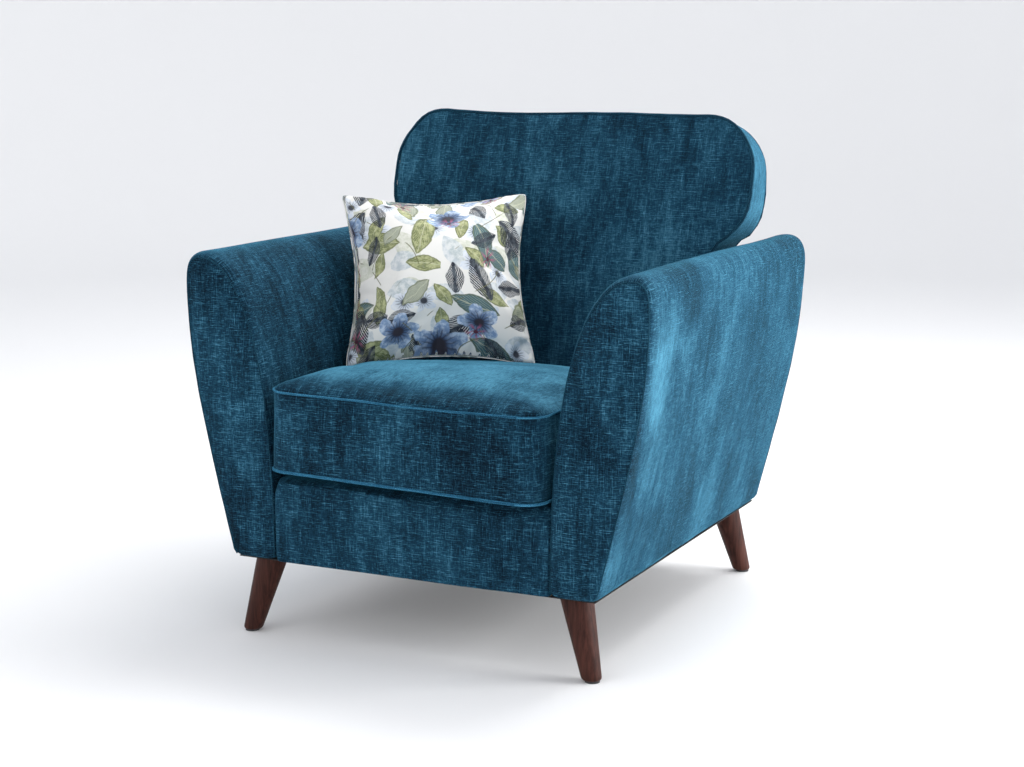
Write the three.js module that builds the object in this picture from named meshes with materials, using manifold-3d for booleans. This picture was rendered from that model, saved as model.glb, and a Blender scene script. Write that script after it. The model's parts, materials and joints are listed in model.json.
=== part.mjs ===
// Upholstered armchair: flared arms, a T-shaped fixed back, a loose boxed seat cushion, a loose scatter
// cushion and four splayed turned legs. Millimetres, +Z up, the chair faces -Y.
// The origin is on the floor, under the middle of the chair's bounding box.
import * as THREE from "three";
import { mergeVertices } from "three/addons/utils/BufferGeometryUtils.js";
import Module from "manifold-3d";

const wasm = await Module();
wasm.setup();

// Overall sizes
const overallWidth = 900;
const overallHeight = 925;
const armDepth = 815;
const cushionOverhang = 40;
const seatWidth = 536;
const armHeight = 692;
const undersideHeight = 143.8;

// Arm section
const armFootWidth = 88;
const armCrestInset = 35;
const armCornerDrop = 46;
const armInnerLean = 6;

// Covers, padding and running gaps
const clothThickness = 3;
const armPadding = 10;
const fitGap = 0.3;
const softGap = 9;
const cutBeyond = 5;
const wellBeyond = 100;
const pipingRadius = 4;
const pipingGap = 0.6;
const pipingSides = 8;
const pipingJoinFromCorner = 20;

// Back
const backSetIn = 63;
const backNeckSetIn = 132;
const backRecess = 40;
const outsideBackTaper = 20;
const backThickness = 189;
const backBreakRise = 7;
const backLeanDegrees = 15;
const earRise = 8;
const earCornerShare = 0.24;
const backCornerShare = 0.484;
const neckClearOfArm = 112;
const neckGap = 13.2;
const neckToEar = 14;
const earDrop = 10;
const postWidth = 45;
const postDepth = 28;
const postSetIn = 58;
const topRailShare = 0.202;
const topRailClearanceShare = 0.103;
const topRailBeyondCornerShare = 0.179;
const midRailHeight = 45;
const midRailShare = 0.386;
const wingShare = 0.58;
const wingClearance = 40;
const strapWidth = 50;
const strapThickness = 1.5;
const strapFootRise = 20;
const strapShares = [0.2, 0.45, 0.7];

// Seat base
const railThickness = 22;
const railClearance = 14.2;
const frontRailTop = 292;
const frontPadding = 8;
const frontReturn = 70;
const rearRailSetIn = 35;
const deckThickness = 4;
const springPadThickness = 12;
const springWire = 3.6;
const springSides = 6;
const springCount = 4;
const springAmplitude = 24;
const springWaves = 6;
const springArch = 8;
const cornerBlockSize = 65;
const cornerBlockHeight = 40;
const cornerBlockRise = 50;
const baseClothThickness = 1.5;
const baseClothInset = 6;

// Arm frame
const plyThickness = 18;
const armRailHeight = 28;
const armRailWidth = 40;
const armTopRailWidth = 26;
const armTopRailDrop = 12;

// Seat cushion
const cushionSideGap = 10;
const cushionRise = 8;
const cushionTop = 455;
const cushionCrown = 16;
const cushionCornerRadius = 32;
const cushionRearGap = 10;
const seatZipHalfLength = 200;
const zipWidth = 12;

// Scatter cushion
const scatterSize = 355;
const scatterThickness = 120;
const scatterEdge = 7;
const scatterLeanDegrees = 30;
const scatterYawDegrees = 31.3;
const scatterFromArm = 161;
const scatterFromBack = 247;
const scatterLift = 19;
const scatterZipHalfLength = 110;
const scatterZipWidth = 3;

// Legs
const legTopRadius = 29;
const legFootRadius = 17;
const legSetIn = 33;
const legSplay = 37;
const legTopInset = 41;
const legFootInset = 24;
const glideThickness = 4;
const glideRadius = 13;
const boltRadius = 4;
const boltInLeg = 35;
const boltInRail = 20;
const boltEndGap = 2;

// Worked-out places, measured from the front of the arms before the whole chair is centred
const seatHalf = seatWidth / 2;
const armFootOuter = seatHalf + armFootWidth;
const pipingReach = (pipingRadius + pipingGap) / Math.SQRT2;
const frontOffset = cushionOverhang - (armDepth + cushionOverhang) / 2;
const coverInset = clothThickness + fitGap;
const paddingInset = coverInset + armPadding;
const frameInset = paddingInset + fitGap;
const lean = THREE.MathUtils.degToRad(backLeanDegrees);
const backCoverTop = overallHeight - pipingReach * (1 + Math.sin(lean)) - pipingRadius;
const backHalfWidth = overallWidth / 2 - backSetIn;
const backNeckHalfWidth = overallWidth / 2 - backNeckSetIn;
const earBottomHeight = armHeight + earRise;
const earSpan = backCoverTop - earBottomHeight;
const earCornerRadius = earCornerShare * earSpan;
const backCornerRadius = backCornerShare * earSpan;
const backRearY = armDepth - backRecess;
const backFrontY = backRearY - backThickness;
const backBreakHeight = cushionTop + backBreakRise;
const rearRailY = backRearY - rearRailSetIn;
const railBottom = undersideHeight;
const railHeight = frontRailTop - railBottom - railClearance;
const deckTop = frontRailTop;
const cushionBottom = frontRailTop + cushionRise;
const scatterX = scatterFromArm - seatHalf;
const scatterY = backFrontY - scatterFromBack;
const legTopX = seatHalf + legSetIn;
const legFootX = legTopX + legSplay;
const legTop = undersideHeight - fitGap - baseClothThickness - fitGap;
const postBottom = railBottom + railHeight + fitGap;

const fabric = { color: 0x1c4e68, roughness: 0.9, metalness: 0 };
const pipingFabric = { color: 0x16394f, roughness: 0.9, metalness: 0 };
const lining = { color: 0x1b1d20, roughness: 0.95, metalness: 0 };
const print = { color: 0xe4e6e2, roughness: 0.85, metalness: 0 };
const foam = { color: 0xe9dfb8, roughness: 0.95, metalness: 0 };
const fibre = { color: 0xf2f1ec, roughness: 0.98, metalness: 0 };
const timber = { color: 0xb98d5c, roughness: 0.7, metalness: 0 };
const walnut = { color: 0x4b2f28, roughness: 0.42, metalness: 0 };
const steel = { color: 0x8d9094, roughness: 0.4, metalness: 0.9 };
const jute = { color: 0x9a7c50, roughness: 0.95, metalness: 0 };
const nylon = { color: 0x202124, roughness: 0.5, metalness: 0 };

const chair = new THREE.Group();
chair.position.y = frontOffset;

// A geometry as a solid that can be joined and cut.
function solid(geometry) {
  const bare = geometry.clone();
  bare.deleteAttribute("normal");
  bare.deleteAttribute("uv");
  const merged = mergeVertices(bare, 1e-3);
  const mesh = new wasm.Mesh({
    numProp: 3,
    vertProperties: merged.attributes.position.array,
    triVerts: new Uint32Array(merged.index.array),
  });
  return new wasm.Manifold(mesh);
}

// A solid back as a flat-shaded geometry.
function geometryOf(body) {
  const mesh = body.getMesh();
  const geometry = new THREE.BufferGeometry();
  geometry.setAttribute("position", new THREE.BufferAttribute(new Float32Array(mesh.vertProperties), 3));
  geometry.setIndex(new THREE.BufferAttribute(new Uint32Array(mesh.triVerts), 1));
  const flat = geometry.toNonIndexed();
  flat.computeVertexNormals();
  return flat;
}

function addPiece(name, shape, finish) {
  const geometry = shape.isBufferGeometry ? shape : geometryOf(shape);
  const mesh = new THREE.Mesh(geometry, new THREE.MeshStandardMaterial(finish));
  mesh.name = name;
  chair.add(mesh);
}

function extruded(outline, length) {
  return new THREE.ExtrudeGeometry(new THREE.Shape(outline), { depth: length, bevelEnabled: false });
}

// An outline in x and z, extruded along Y.
function prismY(outline, yFrom, yTo) {
  return extruded(outline, yTo - yFrom).rotateX(Math.PI / 2).translate(0, yTo, 0);
}

// An outline in y and z, extruded along X.
function prismX(outline, xFrom, xTo) {
  const turn = new THREE.Matrix4().makeBasis(
    new THREE.Vector3(0, 1, 0),
    new THREE.Vector3(0, 0, 1),
    new THREE.Vector3(1, 0, 0),
  );
  return extruded(outline, xTo - xFrom).applyMatrix4(turn).translate(xFrom, 0, 0);
}

// An outline in x and y, extruded along Z.
function prismZ(outline, zFrom, zTo) {
  return extruded(outline, zTo - zFrom).translate(0, 0, zFrom);
}

function block(xFrom, xTo, yFrom, yTo, zFrom, zTo) {
  const geometry = new THREE.BoxGeometry(xTo - xFrom, yTo - yFrom, zTo - zFrom);
  return geometry.translate((xFrom + xTo) / 2, (yFrom + yTo) / 2, (zFrom + zTo) / 2);
}

function upright(radius, x, y, zFrom, zTo) {
  const geometry = new THREE.CylinderGeometry(radius, radius, zTo - zFrom, 16);
  return geometry.rotateX(Math.PI / 2).translate(x, y, (zFrom + zTo) / 2);
}

const at = (x, y) => new THREE.Vector2(x, y);

// An anticlockwise outline moved inwards by a distance, or outwards by a negative one.
function inset(outline, distance) {
  return outline.map((point, i) => {
    const before = outline[(i + outline.length - 1) % outline.length];
    const after = outline[(i + 1) % outline.length];
    const arriving = point.clone().sub(before).normalize();
    const leaving = after.clone().sub(point).normalize();
    const inward = at(-arriving.y - leaving.y, arriving.x + leaving.x).normalize();
    const reach = distance / inward.dot(at(-arriving.y, arriving.x));
    return point.clone().addScaledVector(inward, reach);
  });
}

// The same outline with its foot taken down to a height, so that a hollow cut from it is open below.
function footAt(outline, height, reach) {
  const lowest = Math.min(...outline.map((point) => point.y));
  return outline.map((point) => (point.y < lowest + reach ? at(point.x, height) : point));
}

function mirrored(shape, sign) {
  if (sign > 0) return shape;
  const body = shape.isBufferGeometry ? solid(shape) : shape;
  return body.mirror([1, 0, 0]);
}

const sides = [
  ["left", -1],
  ["right", 1],
];

// A path of straight runs through its points, which a tube follows corner by corner.
class Polyline extends THREE.Curve {
  constructor(points) {
    super();
    this.points = points;
  }

  getPoint(t) {
    const place = t * (this.points.length - 1);
    const i = Math.min(Math.floor(place + 1e-6), this.points.length - 2);
    return this.points[i].clone().lerp(this.points[i + 1], place - i);
  }

  getPointAt(u) {
    return this.getPoint(u);
  }

  getTangentAt(u) {
    const last = this.points.length - 1;
    const i = Math.round(u * last);
    const ahead = this.points[Math.min(i + 1, last)];
    const behind = this.points[Math.max(i - 1, 0)];
    return ahead.clone().sub(behind).normalize();
  }
}

function tube(points, radius, sideCount) {
  const section = new THREE.Shape();
  for (let i = 0; i < sideCount; i++) {
    const angle = (2 * Math.PI * i) / sideCount;
    const corner = [radius * Math.cos(angle), radius * Math.sin(angle)];
    if (i === 0) section.moveTo(...corner);
    else section.lineTo(...corner);
  }
  const extrudePath = new Polyline(points);
  return new THREE.ExtrudeGeometry(section, { steps: points.length - 1, extrudePath, bevelEnabled: false });
}

// Arms

// The arm's inner side, from its foot up to its crest.
function armInnerCurve() {
  const rise = armHeight - undersideHeight;
  return new THREE.CubicBezierCurve(
    at(seatHalf, undersideHeight),
    at(seatHalf, undersideHeight + 0.27 * rise),
    at(seatHalf + armInnerLean, armHeight),
    at(overallWidth / 2 - armCrestInset, armHeight),
  );
}

function armOutline() {
  const rise = armHeight - undersideHeight;
  const outer = overallWidth / 2;
  const flare = outer - armFootOuter;
  const inner = armInnerCurve();
  const shoulder = new THREE.CubicBezierCurve(
    at(outer - armCrestInset, armHeight),
    at(outer - 0.4 * armCrestInset, armHeight),
    at(outer, armHeight - 0.35 * armCornerDrop),
    at(outer, armHeight - armCornerDrop),
  );
  const outside = new THREE.CubicBezierCurve(
    at(outer, armHeight - armCornerDrop),
    at(outer, undersideHeight + 0.64 * rise),
    at(armFootOuter + 0.385 * flare, undersideHeight + 0.26 * rise),
    at(armFootOuter, undersideHeight),
  );
  const clockwise = [
    ...inner.getPoints(14).slice(0, -1),
    ...shoulder.getPoints(5).slice(0, -1),
    ...outside.getPoints(10),
  ];
  return clockwise.reverse();
}

const armSection = armOutline();

// The arm's hollow at some depth below its surface, running out through its underside.
function armHollow(depth) {
  const outline = footAt(inset(armSection, depth), undersideHeight - cutBeyond, 1);
  return solid(prismY(outline, depth, armDepth - depth));
}

function armFramePanel(yFrom, yTo) {
  const outline = footAt(inset(armSection, frameInset), undersideHeight, 1);
  return solid(prismY(outline, yFrom, yTo));
}

const frontLegY = legTopInset;
const rearLegY = armDepth - legTopInset;

function boltHole(x, y) {
  const reach = boltRadius + fitGap;
  const from = legTop - boltInLeg - boltEndGap;
  return solid(upright(reach, x, y, from, undersideHeight + boltInRail + boltEndGap));
}

function makeArm(side, sign) {
  const whole = solid(prismY(armSection, 0, armDepth));
  const cover = whole.subtract(armHollow(clothThickness));
  const paddingOutline = footAt(inset(armSection, coverInset), undersideHeight, 1);
  const paddingBlock = solid(prismY(paddingOutline, coverInset, armDepth - coverInset));
  const padding = paddingBlock.subtract(armHollow(paddingInset));
  const frontFace = frameInset;
  const rearFace = armDepth - frameInset;
  const railFrom = frontFace + plyThickness + fitGap;
  const railTo = rearFace - plyThickness - fitGap;
  const footFrom = seatHalf + frameInset + fitGap;
  const bottomRail = solid(
    block(footFrom, footFrom + armRailWidth, railFrom, railTo, undersideHeight, undersideHeight + armRailHeight),
  )
    .subtract(boltHole(legTopX, frontLegY))
    .subtract(boltHole(legTopX, rearLegY));
  const crestX = overallWidth / 2 - armCrestInset;
  const crestZ = armHeight - frameInset - armTopRailDrop;
  const topRail = block(
    crestX - armTopRailWidth,
    crestX,
    railFrom,
    railTo,
    crestZ - armRailHeight,
    crestZ,
  );
  const frontPanel = armFramePanel(frontFace, frontFace + plyThickness);
  const rearPanel = armFramePanel(rearFace - plyThickness, rearFace);
  addPiece(`arm_cover_${side}`, mirrored(cover, sign), fabric);
  addPiece(`arm_padding_${side}`, mirrored(padding, sign), fibre);
  addPiece(`arm_panel_front_${side}`, mirrored(frontPanel.subtract(boltHole(legTopX, frontLegY)), sign), timber);
  addPiece(`arm_panel_rear_${side}`, mirrored(rearPanel.subtract(boltHole(legTopX, rearLegY)), sign), timber);
  addPiece(`arm_rail_bottom_${side}`, mirrored(bottomRail, sign), timber);
  addPiece(`arm_rail_top_${side}`, mirrored(topRail, sign), timber);
}

// Back

// How far out the arm's inner side is at a height.
function armInnerAt(height) {
  const points = armInnerCurve().getPoints(60);
  const above = Math.max(1, points.findIndex((point) => point.y > height));
  const before = points[above - 1];
  return before.clone().lerp(points[above], (height - before.y) / (points[above].y - before.y)).x;
}

// Points beside the arm's inner side, a gap clear of it, from the seat cushion up to a height.
function besideArm(gap, topHeight) {
  return armInnerCurve()
    .getPoints(14)
    .filter((point) => point.y > cushionBottom && point.y < topHeight)
    .map((point) => at(point.x - gap, point.y));
}

// The right half of the back's front outline, from the deck up to the middle of the top.
function backHalfOutline(bottomX, bottomZ) {
  const neck = besideArm(softGap, armHeight - neckClearOfArm).filter((point) => point.x < backNeckHalfWidth);
  const neckTop = 0.5 * (armHeight + neck[neck.length - 1].y);
  const neckHalfWidth = Math.min(backNeckHalfWidth, armInnerAt(neckTop) - neckGap);
  const earCentre = at(backHalfWidth - earCornerRadius, earBottomHeight + earCornerRadius);
  const ear = [-65, -45, -22, 0].map((degrees) => {
    const angle = THREE.MathUtils.degToRad(degrees);
    return at(
      earCentre.x + earCornerRadius * Math.cos(angle),
      earCentre.y + earCornerRadius * Math.sin(angle),
    );
  });
  const topCentre = at(backHalfWidth - backCornerRadius, backCoverTop - backCornerRadius);
  const corner = [0, 15, 30, 45, 60, 75, 90].map((degrees) => {
    const angle = THREE.MathUtils.degToRad(degrees);
    return at(
      topCentre.x + backCornerRadius * Math.cos(angle),
      topCentre.y + backCornerRadius * Math.sin(angle),
    );
  });
  return [
    at(bottomX, bottomZ),
    ...neck,
    at(neckHalfWidth, neckTop),
    at(neckHalfWidth + neckToEar, earBottomHeight - earDrop),
    ...ear,
    ...corner,
  ];
}

// The same rising outline with one more point where it passes a height.
function withPointAt(half, height) {
  const above = half.findIndex((point) => point.y > height);
  const before = half[above - 1];
  const share = (height - before.y) / (half[above].y - before.y);
  return [...half.slice(0, above), before.clone().lerp(half[above], share), ...half.slice(above)];
}

function wholeOutline(half) {
  const other = half.map((point) => at(-point.x, point.y)).reverse();
  return [...half, ...other];
}

const backHalf = withPointAt(
  backHalfOutline(seatHalf - softGap, frontRailTop + fitGap),
  backBreakHeight + pipingReach,
);
const backOutline = wholeOutline(backHalf);

function backFrontAt(height) {
  return backFrontY + Math.max(0, height - backBreakHeight) * Math.tan(lean);
}

// The back's body at some depth below its front, top and sides, ending at a rear plane.
function backBody(depth, footHeight, rearY) {
  const front = footAt(inset(backOutline, depth), footHeight, 1);
  const forward = depth / Math.cos(lean);
  const above = overallHeight + wellBeyond;
  const profile = [
    at(backFrontY + forward, footHeight - cutBeyond),
    at(rearY, footHeight - cutBeyond),
    at(rearY, above),
    at(backFrontAt(above) + forward, above),
    at(backFrontY + forward, backBreakHeight),
  ];
  const across = solid(prismX(profile, -overallWidth, overallWidth));
  return solid(prismY(front, 0, rearY + wellBeyond)).intersect(across);
}

function makeBack() {
  const coverRear = backRearY - coverInset;
  const outer = backBody(0, frontRailTop + fitGap, coverRear);
  const hollow = backBody(clothThickness, frontRailTop - cutBeyond, coverRear + cutBeyond);
  addPiece("back_cover", outer.subtract(hollow), fabric);

  const postFront = backRearY - coverInset - fitGap - postDepth;
  const strapFront = postFront - fitGap - strapThickness;
  addPiece("back_foam", backBody(coverInset, frontRailTop + fitGap, strapFront - fitGap), foam);

  const neckBottom = [at(seatHalf - fitGap, undersideHeight), at(seatHalf - fitGap, frontRailTop - outsideBackTaper)];
  const panelOutline = wholeOutline([...neckBottom, ...backHalf]);
  addPiece("outside_back", prismY(panelOutline, backRearY - clothThickness, backRearY), fabric);

  const postInset = seatHalf - postSetIn;
  const topRailHeight = topRailShare * earSpan;
  const railFrom = backCoverTop - topRailClearanceShare * earSpan - topRailHeight;
  const postTop = railFrom - fitGap;
  const postHeight = postTop - postBottom;
  const wingHeight = wingShare * earSpan;
  const postRear = postFront + postDepth;
  for (const [side, sign] of sides) {
    const post = block(postInset, postInset + postWidth, postFront, postRear, postBottom, postTop);
    addPiece(`back_post_${side}`, mirrored(post, sign), timber);
    const wingFrom = postInset + postWidth + fitGap;
    const wingTo = backHalfWidth - wingClearance;
    const wing = block(wingFrom, wingTo, postFront, postRear, postTop - wingHeight, postTop);
    addPiece(`back_wing_${side}`, mirrored(wing, sign), timber);
  }
  const topRailHalfLength = backHalfWidth - (1 - topRailBeyondCornerShare) * backCornerRadius;
  const topRail = block(
    -topRailHalfLength,
    topRailHalfLength,
    postFront,
    postRear,
    railFrom,
    railFrom + topRailHeight,
  );
  addPiece("back_rail_top", topRail, timber);
  const midHalf = postInset - fitGap;
  const midRailZ = postBottom + midRailShare * postHeight;
  const midRail = block(-midHalf, midHalf, postFront, postRear, midRailZ, midRailZ + midRailHeight);
  addPiece("back_rail_middle", midRail, timber);

  const strapRear = postFront - fitGap;
  const strapReach = postInset + postWidth;
  const strapFoot = postBottom + strapFootRise;
  let webbing = null;
  for (const step of [-1, 0, 1]) {
    const x = (step * strapReach) / 1.5;
    const standing = solid(
      block(x - strapWidth / 2, x + strapWidth / 2, strapFront, strapRear, strapFoot, railFrom + topRailHeight),
    );
    webbing = webbing ? webbing.add(standing) : standing;
  }
  for (const share of strapShares) {
    const z = postBottom + share * postHeight;
    webbing = webbing.add(
      solid(block(-strapReach, strapReach, strapFront, strapRear, z - strapWidth / 2, z + strapWidth / 2)),
    );
  }
  addPiece("back_webbing", webbing, jute);

  const line = inset(backOutline, -pipingReach).slice(1, -1);
  const forward = pipingReach;
  const frontLine = line.map((point) => {
    const leaning = point.y > backBreakHeight + pipingReach + 1 ? lean : 0;
    return new THREE.Vector3(
      point.x,
      backFrontAt(point.y) - forward / Math.cos(lean),
      point.y + forward * Math.sin(leaning),
    );
  });
  const rearLine = line.map((point) => new THREE.Vector3(point.x, backRearY + pipingReach, point.y));
  addPiece("back_piping_front", tube(frontLine, pipingRadius, pipingSides), pipingFabric);
  addPiece("back_piping_rear", tube(rearLine, pipingRadius, pipingSides), pipingFabric);
}

// Seat base

// A strip that covers the front rail's face and turns back over its top, at some depth below the cover.
function frontStrip(depth, thickness, halfLength) {
  const front = depth;
  const top = frontRailTop - depth;
  const outline = [
    at(front, railBottom),
    at(front + thickness, railBottom),
    at(front + thickness, top - thickness),
    at(frontReturn, top - thickness),
    at(frontReturn, top),
    at(front + thickness, top),
    at(front, top - thickness),
  ];
  return prismX(outline, -halfLength, halfLength);
}

function makeSeatBase() {
  const halfLength = seatHalf - fitGap;
  addPiece("front_cover", frontStrip(0, clothThickness, halfLength), fabric);
  addPiece("front_padding", frontStrip(coverInset, frontPadding, halfLength), fibre);

  const railFront = coverInset + frontPadding + fitGap;
  const railBack = railFront + railThickness;
  const railTop = railBottom + railHeight;
  addPiece("front_rail", block(-halfLength, halfLength, railFront, railBack, railBottom, railTop), timber);
  const rearRailBack = rearRailY + railThickness;
  addPiece("rear_rail", block(-halfLength, halfLength, rearRailY, rearRailBack, railBottom, railTop), timber);

  const blockFoot = railBottom + cornerBlockRise;
  for (const [side, sign] of sides) {
    const frontCorner = [
      at(halfLength, railBack + fitGap),
      at(halfLength, railBack + fitGap + cornerBlockSize),
      at(halfLength - cornerBlockSize, railBack + fitGap),
    ];
    const rearCorner = [
      at(halfLength, rearRailY - fitGap),
      at(halfLength - cornerBlockSize, rearRailY - fitGap),
      at(halfLength, rearRailY - fitGap - cornerBlockSize),
    ];
    const blockTop = blockFoot + cornerBlockHeight;
    addPiece(`corner_block_front_${side}`, mirrored(prismZ(frontCorner, blockFoot, blockTop), sign), timber);
    addPiece(`corner_block_rear_${side}`, mirrored(prismZ(rearCorner, blockFoot, blockTop), sign), timber);
  }

  const deckHalf = halfLength - fitGap;
  const deckFrom = frontReturn + fitGap;
  const deckTo = rearRailY - fitGap;
  addPiece("seat_deck", block(-deckHalf, deckHalf, deckFrom, deckTo, deckTop - deckThickness, deckTop), lining);
  const padTop = deckTop - deckThickness - fitGap;
  const padBottom = padTop - springPadThickness;
  addPiece("spring_pad", block(-deckHalf, deckHalf, deckFrom, deckTo, padBottom, padTop), jute);

  const springFrom = railBack + fitGap + springWire / 2;
  const springTo = rearRailY - fitGap - springWire / 2;
  const springZ = padBottom - springWire - springArch;
  const spacing = (2 * halfLength) / (springCount + 1);
  for (let i = 0; i < springCount; i++) {
    const x = spacing * (i + 1) - halfLength;
    const points = [];
    const stops = 4 * springWaves;
    for (let k = 0; k <= stops; k++) {
      const along = k / stops;
      points.push(
        new THREE.Vector3(
          x + springAmplitude * Math.sin(2 * Math.PI * springWaves * along),
          springFrom + (springTo - springFrom) * along,
          springZ + springArch * Math.sin(Math.PI * along),
        ),
      );
    }
    addPiece(`seat_spring_${i + 1}`, tube(points, springWire / 2, springSides), steel);
  }

  const clothTop = undersideHeight - fitGap;
  const clothHalf = armFootOuter - baseClothInset;
  let baseCloth = solid(
    block(
      -clothHalf,
      clothHalf,
      baseClothInset,
      armDepth - baseClothInset,
      clothTop - baseClothThickness,
      clothTop,
    ),
  );
  for (const x of [-legTopX, legTopX]) {
    for (const y of [frontLegY, rearLegY]) {
      baseCloth = baseCloth.subtract(boltHole(x, y));
    }
  }
  addPiece("base_cloth", baseCloth, lining);
}

// Seat cushion

const cushionHalf = seatHalf - cushionSideGap;
const cushionFront = -cushionOverhang + pipingReach + pipingRadius;
const cushionRear = backFrontY - cushionRearGap;

function cushionPlan() {
  const corners = [
    [cushionHalf, cushionFront, -90],
    [cushionHalf, cushionRear, 0],
    [-cushionHalf, cushionRear, 90],
    [-cushionHalf, cushionFront, 180],
  ];
  const outline = [];
  for (const [x, y, start] of corners) {
    const centre = at(
      x - Math.sign(x) * cushionCornerRadius,
      y === cushionFront ? y + cushionCornerRadius : y - cushionCornerRadius,
    );
    for (let degrees = start; degrees <= start + 90; degrees += 18) {
      const angle = THREE.MathUtils.degToRad(degrees);
      outline.push(
        at(
          centre.x + cushionCornerRadius * Math.cos(angle),
          centre.y + cushionCornerRadius * Math.sin(angle),
        ),
      );
    }
  }
  return outline;
}

// The cushion's body at some depth below its surface: a rounded plan with a low crown on top.
function cushionBody(depth) {
  const middleY = (cushionFront + cushionRear) / 2;
  const halfDepth = (cushionRear - cushionFront) / 2;
  const height = cushionTop - cushionBottom - 2 * depth;
  const crowned = new THREE.BoxGeometry(2 * cushionHalf, 2 * halfDepth, height, 10, 12, 1);
  const position = crowned.attributes.position;
  for (let i = 0; i < position.count; i++) {
    if (position.getZ(i) < 0) continue;
    const across = 1 - (position.getX(i) / cushionHalf) ** 2;
    const along = 1 - (position.getY(i) / halfDepth) ** 2;
    position.setZ(i, position.getZ(i) + cushionCrown * across * along);
  }
  crowned.translate(0, middleY, (cushionBottom + cushionTop) / 2);
  const plan = prismZ(inset(cushionPlan(), depth), cushionBottom - wellBeyond, cushionTop + wellBeyond);
  return solid(crowned).intersect(solid(plan));
}

function makeSeatCushion() {
  const zipZ = (cushionBottom + cushionTop) / 2;
  const mouth = block(
    -seatZipHalfLength,
    seatZipHalfLength,
    cushionRear - clothThickness - cutBeyond,
    cushionRear + cutBeyond,
    zipZ - zipWidth / 2,
    zipZ + zipWidth / 2,
  );
  const cover = cushionBody(0).subtract(cushionBody(clothThickness)).subtract(solid(mouth));
  addPiece("seat_cushion_cover", cover, fabric);
  addPiece("seat_cushion_foam", cushionBody(coverInset), foam);
  const zipHalf = seatZipHalfLength - fitGap;
  const zip = block(
    -zipHalf,
    zipHalf,
    cushionRear - clothThickness + fitGap,
    cushionRear,
    zipZ - zipWidth / 2 + fitGap,
    zipZ + zipWidth / 2 - fitGap,
  );
  addPiece("seat_cushion_zip", zip, nylon);

  const line = inset(cushionPlan(), -pipingReach);
  const start = line.findIndex((point) => point.x < 0 && point.y > cushionRear - cushionCornerRadius / 2);
  const turned = [...line.slice(start), ...line.slice(0, start)];
  const join = at(turned[0].x + pipingJoinFromCorner, turned[0].y);
  const joinEnd = at(join.x + 2 * pipingGap, join.y);
  const loop = [join, ...turned, joinEnd];
  for (const [edge, z] of [
    ["top", cushionTop + pipingReach],
    ["bottom", cushionBottom - pipingReach],
  ]) {
    const points = loop.map((point) => new THREE.Vector3(point.x, point.y, z));
    addPiece(`seat_piping_${edge}`, tube(points, pipingRadius, pipingSides), pipingFabric);
  }
}

// Scatter cushion

// A pillow in its own frame: x across, y up its face, z through its thickness, resting on y = 0.
function pillow(depth) {
  const half = scatterSize / 2;
  const reach = half - depth;
  const geometry = new THREE.BoxGeometry(2 * reach, 2 * reach, 2, 10, 10, 1);
  const position = geometry.attributes.position;
  for (let i = 0; i < position.count; i++) {
    const across = 1 - (position.getX(i) / reach) ** 2;
    const up = 1 - (position.getY(i) / reach) ** 2;
    const swell = (scatterThickness / 2 - scatterEdge / 2) * Math.pow(Math.max(0, across * up), 0.6);
    const face = scatterEdge / 2 + swell - depth;
    position.setZ(i, Math.sign(position.getZ(i)) * Math.max(face, 0.4));
  }
  return geometry.translate(0, half, 0);
}

// Turns a piece of the scatter cushion to its lean and yaw, and stands it on the seat cushion.
function placeScatter(geometry) {
  const tilt = new THREE.Matrix4().makeRotationX(THREE.MathUtils.degToRad(90 - scatterLeanDegrees));
  const turn = new THREE.Matrix4().makeRotationZ(THREE.MathUtils.degToRad(scatterYawDegrees));
  return geometry.applyMatrix4(tilt).applyMatrix4(turn).translate(scatterX, scatterY, cushionTop + scatterLift);
}

function makeScatterCushion() {
  const slot = block(
    -scatterZipHalfLength,
    scatterZipHalfLength,
    -fitGap,
    clothThickness + cutBeyond,
    -scatterZipWidth / 2,
    scatterZipWidth / 2,
  );
  const cover = solid(placeScatter(pillow(0)))
    .subtract(solid(placeScatter(pillow(clothThickness))))
    .subtract(solid(placeScatter(slot)));
  addPiece("scatter_cover", cover, print);
  addPiece("scatter_filling", placeScatter(pillow(coverInset + scatterEdge / 2)), fibre);
  const zipHalf = scatterZipHalfLength - fitGap;
  const zip = block(
    -zipHalf,
    zipHalf,
    0,
    clothThickness - fitGap,
    -scatterZipWidth / 2 + fitGap,
    scatterZipWidth / 2 - fitGap,
  );
  addPiece("scatter_zip", placeScatter(zip), nylon);
}

// Legs

// A turned leg leaning from its foot to its top, cut level at both ends.
function leg(topX, topY, footX, footY) {
  const foot = new THREE.Vector3(footX, footY, 0);
  const top = new THREE.Vector3(topX, topY, legTop);
  const axis = top.clone().sub(foot);
  const overrun = 15;
  const length = axis.length();
  const taper = (legTopRadius - legFootRadius) / length;
  const body = new THREE.CylinderGeometry(
    legTopRadius + taper * overrun,
    legFootRadius - taper * overrun,
    length + 2 * overrun,
    24,
  );
  const upwards = new THREE.Vector3(0, 1, 0);
  body.applyQuaternion(new THREE.Quaternion().setFromUnitVectors(upwards, axis.clone().normalize()));
  const middle = foot.clone().add(top).multiplyScalar(0.5);
  body.translate(middle.x, middle.y, middle.z);
  const level = block(
    topX - wellBeyond,
    topX + wellBeyond,
    topY - wellBeyond,
    topY + wellBeyond,
    glideThickness + fitGap,
    legTop,
  );
  return solid(body).intersect(solid(level)).subtract(boltHole(topX, topY));
}

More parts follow.
